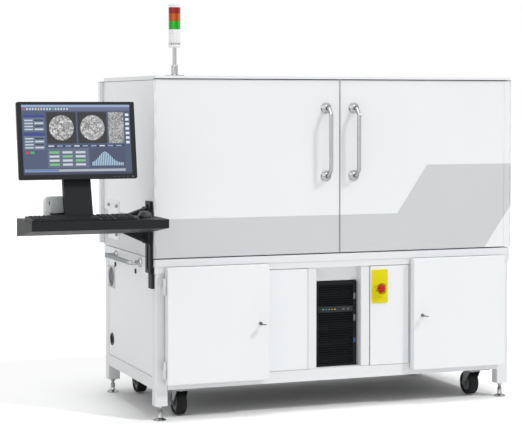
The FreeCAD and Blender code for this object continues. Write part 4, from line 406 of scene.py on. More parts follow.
def speckled_granite(name):
    """Fine black granite with pale flecks, ground smooth."""
    finish = Finish(name)
    cloud = finish.noise(90.0, 5.0)
    speck = ((finish.cell_grey(420.0) * cloud - 0.42) * 6.0).clamped()
    tone = finish.mix(speck, (0.035, 0.037, 0.04), (0.32, 0.33, 0.34))
    return finish.textured(tone, cloud, roughness=0.30, relief=(0.12, 0.08, 0.0003))


def anodised_metal(name, rgb, roughness=0.36):
    """Bead-blasted and anodised aluminium."""
    finish = Finish(name)
    return finish.textured(finish.clouded(linear(rgb), 5.0, 0.06), finish.noise(1600.0, 2.0), roughness,
                           relief=(0.12, 0.25, 0.0002), metallic=0.85)


def lamp_glow(name, rgb, strength):
    """Small indicator that glows evenly under a clear skin."""
    finish = Finish(name)
    tone = finish.clouded(linear(rgb), 300.0, 0.15)
    return finish.surface(base_color=tone, roughness=0.25, emission_color=tone, emission_strength=strength)


# Mesh tools

def rectangle(left, low, right, high):
    return (left, low), (right, low), (right, high), (left, high)


def row(first, pitch, count):
    return [first + i * pitch for i in range(count)]


class Sculpt:
    """Collects the mesh of one piece, in metres in the row frame."""

    def __init__(self):
        self.mesh = bmesh.new()

    def blocks(self, front, back, spans, bevel=0.0, segments=2):
        """Blocks between two upright planes, from their left, low, right and high edges."""
        for left, foot, right, top in spans:
            low, high = Vector((left, front, foot)), Vector((right, back, top))
            verts = bmesh.ops.create_cube(self.mesh, size=1.0)["verts"]
            for vert in verts:
                vert.co = (low + high) / 2 + Vector(a * b for a, b in zip(vert.co, high - low))
            if bevel:
                edges = list({edge for vert in verts for edge in vert.link_edges})
                bmesh.ops.bevel(self.mesh, geom=edges, offset=bevel, segments=segments, profile=0.5,
                                affect="EDGES")
        return self

    def slab(self, points, push):
        """Polygon of points pushed along a vector."""
        base = [self.mesh.verts.new(point) for point in points]
        far = [self.mesh.verts.new(point + push) for point in points]
        self.mesh.faces.new(base)
        self.mesh.faces.new(far[::-1])
        for i in range(len(base)):
            j = (i + 1) % len(base)
            self.mesh.faces.new((base[i], base[j], far[j], far[i]))

    def bridge(self, rings, steps):
        """Faces between one ring of points and the next; a ring of one point is a tip."""
        for first, second in zip(rings, rings[1:]):
            for i in range(steps):
                j = (i + 1) % steps
                corners = [first[i % len(first)], first[j % len(first)],
                           second[j % len(second)], second[i % len(second)]]
                corners = list(dict.fromkeys(corners))
                if len(corners) > 2:
                    self.mesh.faces.new(corners)

    def lathe(self, outline, centre, axis, steps):
        """Solid of revolution from (radius, height) points along an axis from centre."""
        turn = Vector((0, 0, 1)).rotation_difference(Vector(axis))
        centre = Vector(centre)
        rings = []
        for radius, height in outline:
            ring = []
            for i in range(steps if radius > 0 else 1):
                angle = 2 * math.pi * i / steps
                spot = Vector((radius * math.cos(angle), radius * math.sin(angle), height))
                ring.append(self.mesh.verts.new(centre + turn @ spot))
            rings.append(ring)
        self.bridge(rings, steps)
        return self

    def piece(self, name, body, material, slot, smooth_angle=35.0):
        """Makes the object, rides it on its body and gives it its finish."""
        bmesh.ops.recalc_face_normals(self.mesh, faces=self.mesh.faces)
        data = bpy.data.meshes.new(name)
        self.mesh.to_mesh(data)
        self.mesh.free()
        data.shade_smooth()
        data.set_sharp_from_angle(angle=math.radians(smooth_angle))
        data.materials.append(material)
        made = bpy.data.objects.new(name, data)
        bpy.context.scene.collection.objects.link(made)
        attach(made, body)
        return made


def dress(material, *names):
    """Gives CAD nodes a finish in place of the plain one."""
    for name in names:
        if name not in NODES:
            raise RuntimeError("no node is named " + name)
        slots = NODES[name].data.materials
        slots.clear()
        slots.append(material)


def screw_heads(name, spots, axis, radius, material, rise=0.9):
    """Socket-head screws with a recess, all in one piece; the rise is a share of the radius."""
    tool = Sculpt()
    r, h = radius, radius * rise
    outline = [(r, 0.0), (r, h * 0.8), (r * 0.9, h), (r * 0.5, h), (r * 0.45, h * 0.4), (0, h * 0.4)]
    for spot in spots:
        tool.lathe(outline, spot, axis, 18)
    tool.piece(name, "cabinet", material, "zinc_steel")


def border(left, right, foot, top, columns, rows):
    """Points evenly spaced round a rectangle."""
    steps = [left + (right - left) * i / (columns - 1) for i in range(columns)]
    levels = [foot + (top - foot) * i / (rows - 1) for i in range(1, rows - 1)]
    return ([(step, level) for step in steps for level in (foot, top)]
            + [(side, level) for level in levels for side in (left, right)])


# Cabinet

class MICROSCOPE_OT_cabinet(bpy.types.Operator):
    """Paints the shielded cabinet and adds its door seal, black strips of painted shade at the door gaps,
    and rear return
    """
    bl_idname = "microscope.cabinet"
    bl_label = "Cabinet"

    def execute(self, context):
        paint, band = context.scene.microscope_paint, context.scene.microscope_band
        coat = banded_coat("cabinet_coat", paint, band)
        dress(coat, "enclosure_shell", "enclosure_covers", "door_hinge_leaves",
              "front_door_left", "front_door_right")
        dress(powder_coat("roof_coat", paint.white, 0.55, 0.2), "roof_cover")
        dress(port_cover_finish("port_cover_coat", paint.white), "port_cover")
        dress(polished_chrome("handle_chrome", 0.48), "door_handle_left", "door_handle_right")
        self.door_seal()
        self.shade_strips()
        self.cover_return(coat)
        return {"FINISHED"}

    def door_seal(self):
        """Soft D-shaped seal on the jamb, round the door opening."""
        inset, width, crush, sunk, bevel = 0.024, 0.014, 0.0003, 0.0005, 0.0012
        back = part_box("front_door_left")[1].y + crush
        jamb = SHELL_LOW.y + sunk
        left, right = SHELL_LOW.x + inset, SHELL_HIGH.x - inset
        low, high = SHELL_LOW.z + inset, SHELL_HIGH.z - inset
        uprights = [(x, low, x + width, high) for x in (left, right - width)]
        rails = [(left + width, z, right - width, z + width) for z in (low, high - width)]
        tool = Sculpt().blocks(back, jamb, uprights + rails, bevel, 3)
        tool.piece("door_seal", "cabinet", rubber("seal_rubber"), "isolator_rubber")

    def shade_strips(self):
        """Black strips of painted shade along the upper edges of both doors, where the roof's lip shades
        them, and where the doors meet.
        """
        # painted shade: thin black strips standing where the roof's lip and the door gap cast shade
        strip = rubber("painted_shade_rubber")
        height, width, thickness = 0.003, 0.0006, 0.0008
        end, gap, apart, sunk, bevel = 0.004, 0.0001, 0.001, 0.0002, 0.0002
        for side in ("left", "right"):
            low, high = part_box("front_door_" + side)
            x = high.x - width - gap if side == "left" else low.x + gap
            upper = (low.x + end, high.z - height, high.x - end, high.z - gap)
            meeting = (x, low.z + end, x + width, high.z - height - apart)
            tool = Sculpt().blocks(low.y - thickness, low.y + sunk, (upper, meeting), bevel)
            tool.piece("door_shade_strip_" + side, "front_door_" + side, strip, "isolator_rubber")

    def cover_return(self, coat):
        """Folded return that closes the rear cover where it stands past the left wall."""
        margin, air, sheet, lap, bevel = 0.002, 0.0004, 0.0015, 0.004, 0.0003
        front = SHELL_HIGH.y + air
        span = (COVERS_LOW.x + margin, COVERS_LOW.z + margin, SHELL_LOW.x + lap, COVERS_HIGH.z - margin)
        tool = Sculpt().blocks(front, front + sheet, [span], bevel)
        tool.piece("rear_cover_return", "cabinet", coat, "white_paint")


def port_cover_finish(name, paint):
    """Painted plate with plated thumb screws, told apart by how far they stand out."""
    screw_height = 0.0128
    finish = Finish(name)
    [x] = finish.axes("X")
    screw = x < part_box("port_cover")[0].x + screw_height
    tone = finish.mix(screw, finish.clouded(shaded(paint, 0.96)), (0.36, 0.37, 0.38))
    return finish.textured(tone, screw, roughness=0.42, relief=(-0.14, 0.18, 0.0003),
                           raised=finish.noise(*PEEL), metallic=screw)


# Base

class MICROSCOPE_OT_base(bpy.types.Operator):
    """Paints the base frame, its doors and panels and finishes its hardware"""
    bl_idname = "microscope.base"
    bl_label = "Base"

    def execute(self, context):
        paint = context.scene.microscope_paint
        dress(powder_coat("frame_coat", paint.frame_white), "base_frame", "base_deck")
        skin = 0.0004
        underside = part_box("base_panels")[0].z + skin
        # painted shade: the panels' underside is dark grey, which deepens the shadow under the base
        dress(coat_with_shaded_underside("panel_coat", paint.panel_white, SHADOW_GREY, underside), "base_panels")
        dress(powder_coat("lower_door_coat", paint.white), "lower_door_left", "lower_door_right")
        dress(powder_coat("hinge_coat", paint.frame_white, 0.38), "lower_door_hinges")
        dress(polished_chrome("grab_bar_chrome", 0.5, (0.40, 0.42, 0.43)), "grab_bars")
        dress(polished_chrome("lock_chrome", 0.36), "door_lock_left", "door_lock_right")
        dress(moulded_plastic("latch_plastic", (40, 41, 43)), "side_latches")
        dress(moulded_plastic("port_ring_plastic", (52, 54, 57)), "cable_port")
        dress(fan_finish("fan_plate", middle("fan_guard")), "fan_guard")
        dress(moulded_plastic("rotor_plastic", (122, 125, 128)), "fan_rotor")
        dress(threaded_chrome("foot_chrome"), "levelling_feet")
        dress(plated_steel("caster_plate_steel", (150, 152, 155), 0.38), "caster_plates")
        dress(plated_steel("fork_steel", (146, 154, 153), 0.36), *nodes_named("caster_fork"))
        for name in nodes_named("caster_wheel"):
            dress(wheel_finish("finish_" + name, middle(name)), name)
        return {"FINISHED"}


def fan_finish(name, centre):
    """Light frame plate round a darker guard of rings and spokes."""
    opening = 0.0515
    finish = Finish(name)
    y, z = finish.axes("YZ")
    guard = distance(y - centre.y, z - centre.z) < opening
    grain = finish.noise(700.0, 3.0)
    light = finish.mix(grain, linear((196, 198, 200)), linear((206, 208, 210)))
    dark = finish.mix(grain, linear((136, 140, 143)), linear((156, 160, 163)))
    return finish.textured(finish.mix(guard, light, dark), grain, roughness=0.38,
                           relief=(0.1, 0.2, 0.0002))


def threaded_chrome(name):
    """Chrome whose stem carries a fine rolled thread."""
    pitch, stem_low, stem_high = 0.0018, 0.036, 0.063
    finish = Finish(name)
    [z] = finish.axes("Z")
    thread = (z * (2 * math.pi / pitch)).sine() * ((z > stem_low) * (z < stem_high))
    haze = finish.noise(*HAZE)
    tone = finish.mix(haze, (0.46, 0.47, 0.49), (0.60, 0.61, 0.62))
    return finish.textured(tone, haze, roughness=0.10, relief=(0.12, 0.8, 0.0006), raised=thread,
                           metallic=1.0, specular_tint=CHROME_EDGE)


def wheel_finish(name, centre):
    """Black tyre on a grey moulded hub, told apart by the distance from the axle."""
    hub_radius = 0.041
    finish = Finish(name)
    y, z = finish.axes("YZ")
    tyre = distance(y - centre.y, z - centre.z) > hub_radius
    dust = finish.noise(26.0, 4.0)
    hub = finish.mix(dust, linear((92, 94, 97)), linear((112, 114, 117)))
    tread = finish.mix(dust, linear((20, 20, 22)), linear((34, 34, 36)))
    return finish.textured(finish.mix(tyre, hub, tread), tyre, roughness=0.45,
                           relief=(0.25, 0.3, 0.0003), raised=finish.noise(900.0, 2.0),
                           specular_ior_level=0.25)


class MICROSCOPE_OT_stop(bpy.types.Operator):
    """Finishes the emergency stop"""
    bl_idname = "microscope.stop"
    bl_label = "Emergency stop"

    def execute(self, context):
        dress(moulded_plastic("signal_yellow", (222, 209, 20), 0.45, 0.12), "stop_housing")
        dress(moulded_plastic("signal_red", (184, 26, 34), 0.32, 0.2), "stop_button")
        return {"FINISHED"}


class MICROSCOPE_OT_beacon(bpy.types.Operator):
    """Finishes the signal beacon and its lenses"""
    bl_idname = "microscope.beacon"
    bl_label = "Signal beacon"

    def execute(self, context):
        centre = middle("lens_green")
        for name, rgb in (("lens_green", (12, 176, 24)), ("lens_amber", (190, 82, 8)),
                          ("lens_red", (152, 14, 18))):
            dress(fluted_lens(name + "_plastic", rgb, centre), name)
        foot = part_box("beacon_housing")[0].z
        vent_low, vent_high = foot + 0.014, foot + 0.022
        dress(vented_housing("beacon_white", (232, 233, 234), centre, vent_low, vent_high),
              "beacon_housing")
        dress(polished_chrome("beacon_pole_chrome", 0.46), "beacon_stand")
        return {"FINISHED"}


# Computer

class MICROSCOPE_OT_computer(bpy.types.Operator):
    """Finishes the tower computer and adds its lamps, sockets and tabs"""
    bl_idname = "microscope.computer"
    bl_label = "Computer"

    def execute(self, context):
        dress(powder_coat("case_coat", linear((26, 27, 29)), 0.5, 0.2), "computer_case")
        dress(moulded_plastic("bezel_plastic", (20, 22, 24), 0.4, 0.15), "computer_bezel")
        low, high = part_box("computer_bezel")
        self.control_strip(low, high)
        self.drive_tabs(low, high)
        return {"FINISHED"}

    def control_strip(self, low, high):
        """Control strip with indicator lamps and two sockets."""
        left, right, face = low.x + 0.0095, high.x - 0.0225, low.y + 0.001
        foot, top = 0.501, 0.531
        level = (foot + top) / 2
        tool = Sculpt().blocks(face - 0.0012, face + 0.001, [(left, foot, right, top)], 0.0006)
        finish = moulded_plastic("strip_plastic", (42, 45, 48), 0.36, 0.2)
        tool.piece("control_strip", "cabinet", finish, "case_black")
        lamp_width, half_height, bevel = 0.0056, 0.0018, 0.0005
        lamps = (("green", (60, 220, 90)), ("blue", (60, 120, 245)), ("green_2", (60, 220, 90)),
                 ("orange", (245, 140, 40)), ("yellow", (240, 215, 60)))
        for x, (word, rgb) in zip(row(left + 0.023, 0.0165, 5), lamps):
            span = (x, level - half_height, x + lamp_width, level + half_height)
            lamp = Sculpt().blocks(face - 0.0024, face - 0.0008, [span], bevel)
            glow = lamp_glow("glow_" + word, rgb, 0.25)
            lamp.piece("strip_lamp_" + word, "cabinet", glow, "case_black")
        sockets = Sculpt()
        for x in row(right - 0.060, 0.026, 2):
            shell = (x, level - 0.0045, x + 0.013, level + 0.0045)
            tongue = (x + 0.002, level - 0.0005, x + 0.011, level + 0.003)
            sockets.blocks(face - 0.0022, face - 0.001, [shell], 0.0006)
            sockets.blocks(face - 0.0027, face - 0.0020, [tongue])
        steel = plated_steel("socket_steel", (112, 114, 117))
        sockets.piece("strip_sockets", "cabinet", steel, "zinc_steel")

    def drive_tabs(self, low, high):
        """Two silver tabs and a blue one on the right cheek."""
        left, right = high.x - 0.019, high.x - 0.007
        front, back = low.y - 0.0016, low.y + 0.001
        silver = plated_steel("tab_silver", (118, 120, 123), 0.34)
        blue = moulded_plastic("release_blue", (45, 78, 158), 0.3)
        tabs = (("drive_tabs", silver, "zinc_steel", (0.452, 0.565), 0.032),
                ("release_tab", blue, "case_black", (0.337,), 0.024))
        for name, finish, slot, levels, height in tabs:
            spans = [(left, z, right, z + height) for z in levels]
            Sculpt().blocks(front, back, spans, 0.0012).piece(name, "cabinet", finish, slot)


# Console

class MICROSCOPE_OT_console(bpy.types.Operator):
    """Finishes the console's rail, arm, tray and input devices"""
    bl_idname = "microscope.console"
    bl_label = "Console"

    def execute(self, context):
        paint = context.scene.microscope_paint
        dress(powder_coat("rail_coat", paint.dark, 0.48, 0.2), "console_rail")
        dress(powder_coat("arm_coat", shaded(paint.dark, 0.8), 0.5, 0.2), "console_arm")
        dress(powder_coat("tray_coat", paint.dark, 0.42, 0.15), "keyboard_tray")
        dress(moulded_plastic("keyboard_plastic", (24, 25, 27), 0.4, 0.2), "keyboard")
        dress(moulded_plastic("pod_plastic", (222, 227, 228), 0.3), "control_pod")
        dress(moulded_plastic("stand_plastic", (34, 36, 38), 0.42, 0.15), "monitor_stand")
        low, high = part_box("mouse")
        self.mouse_shell(low, high)
        self.mouse_wheel(low, high)
        self.keyboard_lamps()
        self.pod_window()
        return {"FINISHED"}

    def mouse_shell(self, low, high):
        """Domed shell with a faint waist, leaning back towards its palm end."""
        rows, columns = 20, 44
        fullness, lean_share, length_share, rise_share = 0.55, 0.12, 0.96, 0.97
        waist_depth, waist_level, waist_height = 0.05, 0.1, 0.05
        centre, half = (low + high) / 2, (high - low) / 2
        tool = Sculpt()
        rings = []
        for i in range(rows + 1):
            share = i / rows
            spread = math.cos(share * math.pi / 2) ** fullness if i < rows else 0.0
            spread *= 1.0 - waist_depth * math.exp(-((share - waist_level) / waist_height) ** 2)
            lean = lean_share * half.y * share * share
            z = low.z + (high.z - low.z) * rise_share * math.sin(share * math.pi / 2)
            ring = []
            for k in range(columns if i < rows else 1):
                angle = 2 * math.pi * k / columns
                x = centre.x + half.x * spread * math.cos(angle)
                y = centre.y + half.y * spread * length_share * math.sin(angle) - lean
                ring.append(tool.mesh.verts.new((x, y, z)))
            rings.append(ring)
        tool.bridge(rings, columns)
        tool.mesh.faces.new(rings[0][::-1])
        finish = mouse_finish("mouse_plastic", centre)
        body = tool.piece("mouse_shell", "console_arm", finish, "black_plastic", smooth_angle=60.0)
        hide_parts("mouse")

    def mouse_wheel(self, low, high):
        """Wheel with rounded shoulders between the two keys."""
        radius, half_width, flat, shoulder = 0.010, 0.0035, 0.002, 0.001
        forward, sunk = 0.68, 0.0135
        centre = ((low.x + high.x) / 2, low.y + (high.y - low.y) * forward, high.z - sunk)
        outline = [(0, -half_width), (radius - shoulder, -half_width), (radius, -flat), (radius, flat),
                   (radius - shoulder, half_width), (0, half_width)]
        finish = rubber("wheel_rubber", linear((64, 65, 67)))
        Sculpt().lathe(outline, centre, (1, 0, 0), 36).piece("mouse_wheel", "console_arm", finish,
                                                             "black_plastic")

    def keyboard_lamps(self):
        """Three small indicator lamps above the number keys."""
        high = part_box("keyboard")[1]
        width, foot, top = 0.004, high.z - 0.0062, high.z - 0.0054
        spans = [(x, foot, x + width, top) for x in row(high.x - 0.074, 0.017, 3)]
        tool = Sculpt().blocks(high.y - 0.0105, high.y - 0.0085, spans, 0.0003)
        glow = lamp_glow("keyboard_glow", (90, 225, 120), 0.5)
        tool.piece("keyboard_lamps", "console_arm", glow, "black_plastic")

    def pod_window(self):
        """Dark display window and a speaker slot on the control unit's front; the slot's dark plate is
        painted shade inside the slot.
        """
        low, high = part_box("control_pod")
        size = high - low
        proud, sunk = 0.0008, 0.002
        window, slot = (0.20, 0.07, 0.92, 0.24), (0.12, 0.62, 0.16, 0.80)
        spans = [(low.x + size.x * left, low.z + size.z * foot, low.x + size.x * right, low.z + size.z * top)
                 for left, foot, right, top in (window, slot)]
        # the window is dark plastic; the slot's dark plate stands for the shade inside the slot (painted
        # shade)
        tool = Sculpt().blocks(low.y - proud, low.y + sunk, spans, 0.0008)
        finish = moulded_plastic("pod_window_plastic", (38, 41, 44), 0.2)
        tool.piece("pod_window", "console_arm", finish, "black_plastic")


def mouse_finish(name, centre):
    """Black shell with a seam between the two keys and behind them, painted near black as painted shade in
    the seam and grooved in the bump.
    """
    seam_width = 0.0006
    finish = Finish(name)
    x, y = finish.axes("XY")
    between = (abs(x - centre.x) < seam_width) * (y > centre.y)
    seam = between.math("MAXIMUM", between, abs(y - centre.y) < seam_width)
    grain = finish.noise(*MOULD_GRAIN)
    # painted shade: the seam is coloured near black
    tone = finish.mix(seam, finish.clouded(linear((30, 31, 33)), 30.0, 0.06), (0.004, 0.004, 0.004))
    return finish.textured(tone, grain, roughness=0.34, relief=(0.12, 0.5, 0.0004),
                           raised=grain * 0.2 - seam)


# Monitor

class TiltedFace:
    """The monitor's front face: points in the row frame from lengths on it or shares of its screen."""

    def __init__(self, tilt, height, bezel_side, bezel_top, chin, recess, body_depth):
        low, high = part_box("monitor")
        self.up = Vector((0, math.sin(tilt), math.cos(tilt)))
        self.out = Vector((0, -math.cos(tilt), math.sin(tilt)))
        self.corner = Vector((low.x, low.y, low.z + body_depth * math.sin(tilt)))
        self.width = high.x - low.x
        self.screen_corner = self.corner + Vector((bezel_side, 0, 0)) + self.up * chin - self.out * recess
        self.screen_width = self.width - 2 * bezel_side
        self.screen_height = height - chin - bezel_top

    def on_face(self, across, up, lift=0.0):
        return self.corner + Vector((across, 0, 0)) + self.up * up + self.out * lift

    def on_screen(self, across, up):
        """Point at shares of the screen's width and height."""
        return (self.screen_corner + Vector((across * self.screen_width, 0, 0))
                + self.up * (up * self.screen_height))

    def plate(self, tool, left, low, right, high, thickness, lift=0.0):
        """Adds a thin plate between lengths on the face."""
        corners = [self.on_face(*corner, lift) for corner in rectangle(left, low, right, high)]
        tool.slab(corners, self.out * thickness)

    def screen_plate(self, tool, left, low, right, high, thickness):
        """Adds a thin plate between shares of the screen."""
        corners = [self.on_screen(*corner) for corner in rectangle(left, low, right, high)]
        tool.slab(corners, self.out * thickness)


# Display colours of the screen's fields
SLATE, HEADER, TEAL, BAR = (66, 80, 112), (38, 50, 140), (96, 112, 136), (96, 106, 138)
PALE, DARK, LIGHT, BRIGHT = (206, 214, 220), (40, 48, 78), (150, 172, 210), (226, 232, 238)
KEY_WHITE, TABLE, CHART, CURVE = (232, 236, 240), (92, 104, 128), (60, 70, 100), (170, 200, 224)
RED, GREEN, SOFT_GREEN = (208, 44, 48), (66, 178, 84), (120, 196, 130)
FOOT_BAR, PROGRESS = (176, 184, 190), (66, 108, 196)
MARKS = ((214, 60, 52), (230, 206, 70), (80, 186, 96), PALE)


class MICROSCOPE_OT_monitor(bpy.types.Operator):
    """Finishes the monitor and draws a plain instrument panel on its screen"""
    bl_idname = "microscope.monitor"
    bl_label = "Monitor"

    def execute(self, context):
        dress(moulded_plastic("monitor_plastic", (34, 36, 38), 0.38, 0.2), "monitor")
        face = TiltedFace(tilt=math.radians(9.3), height=0.374, bezel_side=0.023, bezel_top=0.014,
                          chin=0.022, recess=0.003, body_depth=0.0187)
        self.panel_fields(face)
        self.slices(face)
        self.chin_keys(face)
        self.back_vents(face)
        return {"FINISHED"}

    def panel_fields(self, face):
        """Headers, value fields, buttons and status marks, in shares of the screen."""
        tool, colours, layer_thickness = Sculpt(), [], 0.00012

        def field(left, low, right, high, rgb, layer):
            """Thin raised field, a box of six faces of one colour."""
            face.screen_plate(tool, left, low, right, high, layer_thickness * layer)
            colours.extend([linear(rgb)] * 6)

        field(0, 0, 1, 1, SLATE, 1)
        field(0, 0.965, 1, 1, LIGHT, 2)
        field(0, 0.915, 1, 0.962, BAR, 2)
        for i, left in enumerate(row(0.02, 0.026, 16)):
            field(left, 0.926, left + 0.015, 0.952, MARKS[i % 4] if i % 5 == 0 else PALE, 3)
        for low in (0.62, 0.36):
            field(0.015, low + 0.20, 0.205, low + 0.235, HEADER, 2)
            field(0.015, low, 0.205, low + 0.195, TEAL, 2)
            for line, foot in enumerate(row(low + 0.02, 0.043, 4)):
                field(0.025, foot, 0.10, foot + 0.018, PALE, 3)
                field(0.115, foot, 0.195, foot + 0.022, DARK if line % 2 else PALE, 3)
        field(0.025, 0.30, 0.06, 0.335, RED, 3)
        field(0.07, 0.30, 0.105, 0.335, GREEN, 3)
        for low in row(0.44, 0.066, 7):
            field(0.955, low, 0.988, low + 0.036, KEY_WHITE, 2)
        field(0.225, 0.395, 0.938, 0.425, DARK, 2)
        for i, left in enumerate(row(0.235, 0.078, 9)):
            field(left, 0.402, left + 0.05, 0.418, LIGHT if i % 3 else BRIGHT, 3)
        field(0.225, 0.10, 0.60, 0.375, TABLE, 2)
        for i, low in enumerate(row(0.13, 0.058, 4)):
            for k, left in enumerate(row(0.24, 0.12, 3)):
                shade = PALE if (i + k) % 3 else SOFT_GREEN
                field(left, low, left + 0.09, low + 0.03, shade, 3)
        field(0.615, 0.10, 0.938, 0.375, CHART, 2)
        for i, left in enumerate(row(0.63, 0.0165, 18)):
            height = 0.04 + 0.16 * math.exp(-((i - 7) / 4.5) ** 2)
            field(left, 0.125, left + 0.011, 0.125 + height, CURVE, 3)
        field(0.015, 0.045, 0.938, 0.078, FOOT_BAR, 2)
        field(0.02, 0.052, 0.32, 0.071, PROGRESS, 3)
        field(0, 0, 1, 0.03, DARK, 2)
        made = tool.piece("screen_fields", "monitor", field_glow("screen_glow"), "black_plastic")
        attribute = made.data.color_attributes.new("field_colour", "FLOAT_COLOR", "CORNER")
        for polygon, colour in zip(made.data.polygons, colours):
            for corner in polygon.loop_indices:
                attribute.data[corner].color = (*colour, 1.0)

    def slices(self, face):
        """Grey pictures of a granular specimen: two square slices and a narrow one."""
        low, high, thickness = 0.445, 0.895, 0.0003
        for number, (word, left, right) in enumerate((("a", 0.225, 0.495), ("b", 0.51, 0.78),
                                                      ("c", 0.795, 0.938))):
            tool = Sculpt()
            face.screen_plate(tool, left, low, right, high, thickness)
            centre = face.on_screen((left + right) / 2, (low + high) / 2)
            glow = slice_glow("glow_slice_" + word, centre, number)
            tool.piece("screen_slice_" + word, "monitor", glow, "black_plastic")

    def chin_keys(self, face):
        """Row of small keys and a power lamp under the screen."""
        width, low, high = 0.012, 0.008, 0.012
        tool = Sculpt()
        for left in row(face.width - 0.120, 0.022, 4):
            face.plate(tool, left, low, left + width, high, 0.0008)
        finish = moulded_plastic("monitor_key_plastic", (58, 60, 63))
        tool.piece("monitor_keys", "monitor", finish, "black_plastic")
        outline = [(0.0016, 0), (0.0014, 0.0006), (0, 0.0008)]
        lamp = Sculpt().lathe(outline, face.on_face(face.width - 0.022, (low + high) / 2), face.out, 20)
        glow = lamp_glow("monitor_glow", (150, 190, 250), 0.8)
        lamp.piece("monitor_lamp", "monitor", glow, "black_plastic")

    def back_vents(self, face):
        """Row of cooling ribs on the raised back."""
        width, low, high, depth = 0.005, 0.286, 0.318, -0.034
        tool = Sculpt()
        for left in row(0.080, 0.0127, 34):
            face.plate(tool, left, low, left + width, high, -0.0016, depth)
        finish = moulded_plastic("vent_plastic", (26, 27, 29))
        tool.piece("monitor_vent_ribs", "monitor", finish, "black_plastic")


def screen_light(finish, glow, strength):
    """Dark glass that gives off its own picture."""
    return finish.surface(base_color=(0.01, 0.01, 0.012), roughness=0.3, emission_color=glow,
                          emission_strength=strength)


def field_glow(name):
    """Emitting surface that takes its colour from the field it is on."""
    finish = Finish(name)
    tone = finish.node("ShaderNodeVertexColor", {"layer_name": "field_colour"})
    grain = finish.noise(2400.0, 1.0)
    return screen_light(finish, finish.mix(grain * 0.03, tone, (0.55, 0.6, 0.7)), 0.92)


def slice_glow(name, centre, number):
    """Grey slice through grains: in a round holder on the two square slices, bare on the third."""
    holder_radius = 0.060
    finish = Finish(name)
    x, z = finish.axes("XZ")
    scale = 95.0 + number * 30.0
    edge = finish.cells(scale, "Distance", {"feature": "DISTANCE_TO_EDGE"})
    pores = finish.noise(60.0 + number * 25.0, 5.0, 0.65)
    grains = finish.cell_grey(scale) * 0.55 + 0.18 + ((pores - 0.5) * 3.0).clamped() * 0.5
    grains = grains * (edge * 14.0).clamped()
    tone = (0.75, 0.75, 0.76)
    if number < 2:
        holder = distance(x - centre.x, z - centre.z) < holder_radius
        tone = finish.mix(holder, (0.015, 0.015, 0.017), (0.9, 0.9, 0.9))
    glow = finish.mix((grains * 1.1).clamped(), (0.012, 0.012, 0.014), tone)
    return screen_light(finish, glow, 0.95)


# Inner axis

class MICROSCOPE_OT_axis(bpy.types.Operator):
    """Finishes the granite, rails, source, stage and detector inside the cabinet"""
    bl_idname = "microscope.axis"
    bl_label = "Inner axis"

    def execute(self, context):
        dress(speckled_granite("black_granite"), "granite_base")
        dress(rubber("isolator_rubber_black"), "isolators")
        dress(plated_steel("rail_steel", (172, 174, 177), 0.22), "guide_rails")
        anodised = anodised_metal("clear_anodised", (176, 179, 182))
        dress(anodised, "stage_carriage", "stage_lift")
        dress(anodised_metal("black_anodised", (52, 54, 58), 0.4), "stage_cross_slide")
        dress(plated_steel("spindle_steel", (190, 191, 193), 0.2), "rotary_table")
        dress(powder_coat("source_coat", linear((206, 208, 210))), "source_carriage")
        dress(plated_steel("tube_steel", (166, 168, 171), 0.26), "xray_tube")
        dress(powder_coat("detector_coat", linear((198, 201, 204))), "detector_carriage")
        dress(anodised_metal("turret_metal", (88, 91, 96), 0.32), "objective_turret")
        self.rail_screws()
        return {"FINISHED"}

    def rail_screws(self):
        """Counterbored screws along both guide rails."""
        rail_width, rail_height = 0.044, 0.024
        low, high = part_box("guide_rails")
        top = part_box("granite_base")[1].z + rail_height
        outline = [(0.0055, 0), (0.0055, 0.0004), (0.0042, 0.0006), (0.0028, 0.0006), (0.0026, 0.0001),
                   (0, 0.0001)]
        tool = Sculpt()
        for y in (low.y + rail_width / 2, high.y - rail_width / 2):
            for x in row(low.x + 0.056, 0.0825, 19):
                tool.lathe(outline, (x, y, top), (0, 0, 1), 16)
        steel = plated_steel("screw_steel", (92, 94, 97), 0.35)
        tool.piece("rail_screws", "cabinet", steel, "zinc_steel")


# Fasteners

class MICROSCOPE_OT_fasteners(bpy.types.Operator):
    """Adds the screws that hold the covers, the casters and the fan"""
    bl_idname = "microscope.fasteners"
    bl_label = "Fasteners"

    def execute(self, context):
        steel = plated_steel("fastener_steel", (168, 170, 173), 0.3)
        self.cover_screws(steel)
        self.fan_screws(steel)
        self.caster_bolts(steel)
        return {"FINISHED"}

    def cover_screws(self, steel):
        """Low screws round the borders of the rear and right covers."""
        inset, radius, rise = 0.018, 0.005, 0.35
        right_front, right_back = FRONT_Y + 0.066, FRONT_Y + 0.938
        low, high = COVERS_LOW, COVERS_HIGH
        foot, top = low.z + inset, high.z - inset
        rear = [(x, high.y, z) for x, z in border(low.x + inset, high.x - inset, foot, top, 9, 4)]
        right = [(high.x, y, z) for y, z in border(right_front + inset, right_back - inset, foot, top, 5, 4)]
        screw_heads("rear_cover_screws", rear, (0, 1, 0), radius, steel, rise)
        screw_heads("right_cover_screws", right, (1, 0, 0), radius, steel, rise)

    def fan_screws(self, steel):
        hole = 0.0525
        face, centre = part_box("fan_guard")[0].x, middle("fan_guard")
        spots = [(face, centre.y + y, centre.z + z) for y in (-hole, hole) for z in (-hole, hole)]
        screw_heads("fan_screws", spots, (-1, 0, 0), 0.0036, steel)

    def caster_bolts(self, steel):
        """Four bolts under each caster's plate, placed from its fork."""
        plate_y, hole_x, hole_y, plate_foot = 0.034, 0.047, 0.046, 0.149
        spots = []
        for name in nodes_named("caster_fork"):
            centre_x, centre_y = middle(name).x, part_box(name)[0].y + plate_y
            spots += [(centre_x + x, centre_y + y, plate_foot)
                      for x in (-hole_x, hole_x) for y in (-hole_y, hole_y)]
        screw_heads("caster_bolts", spots, (0, 0, -1), 0.0065, steel)


# Stage

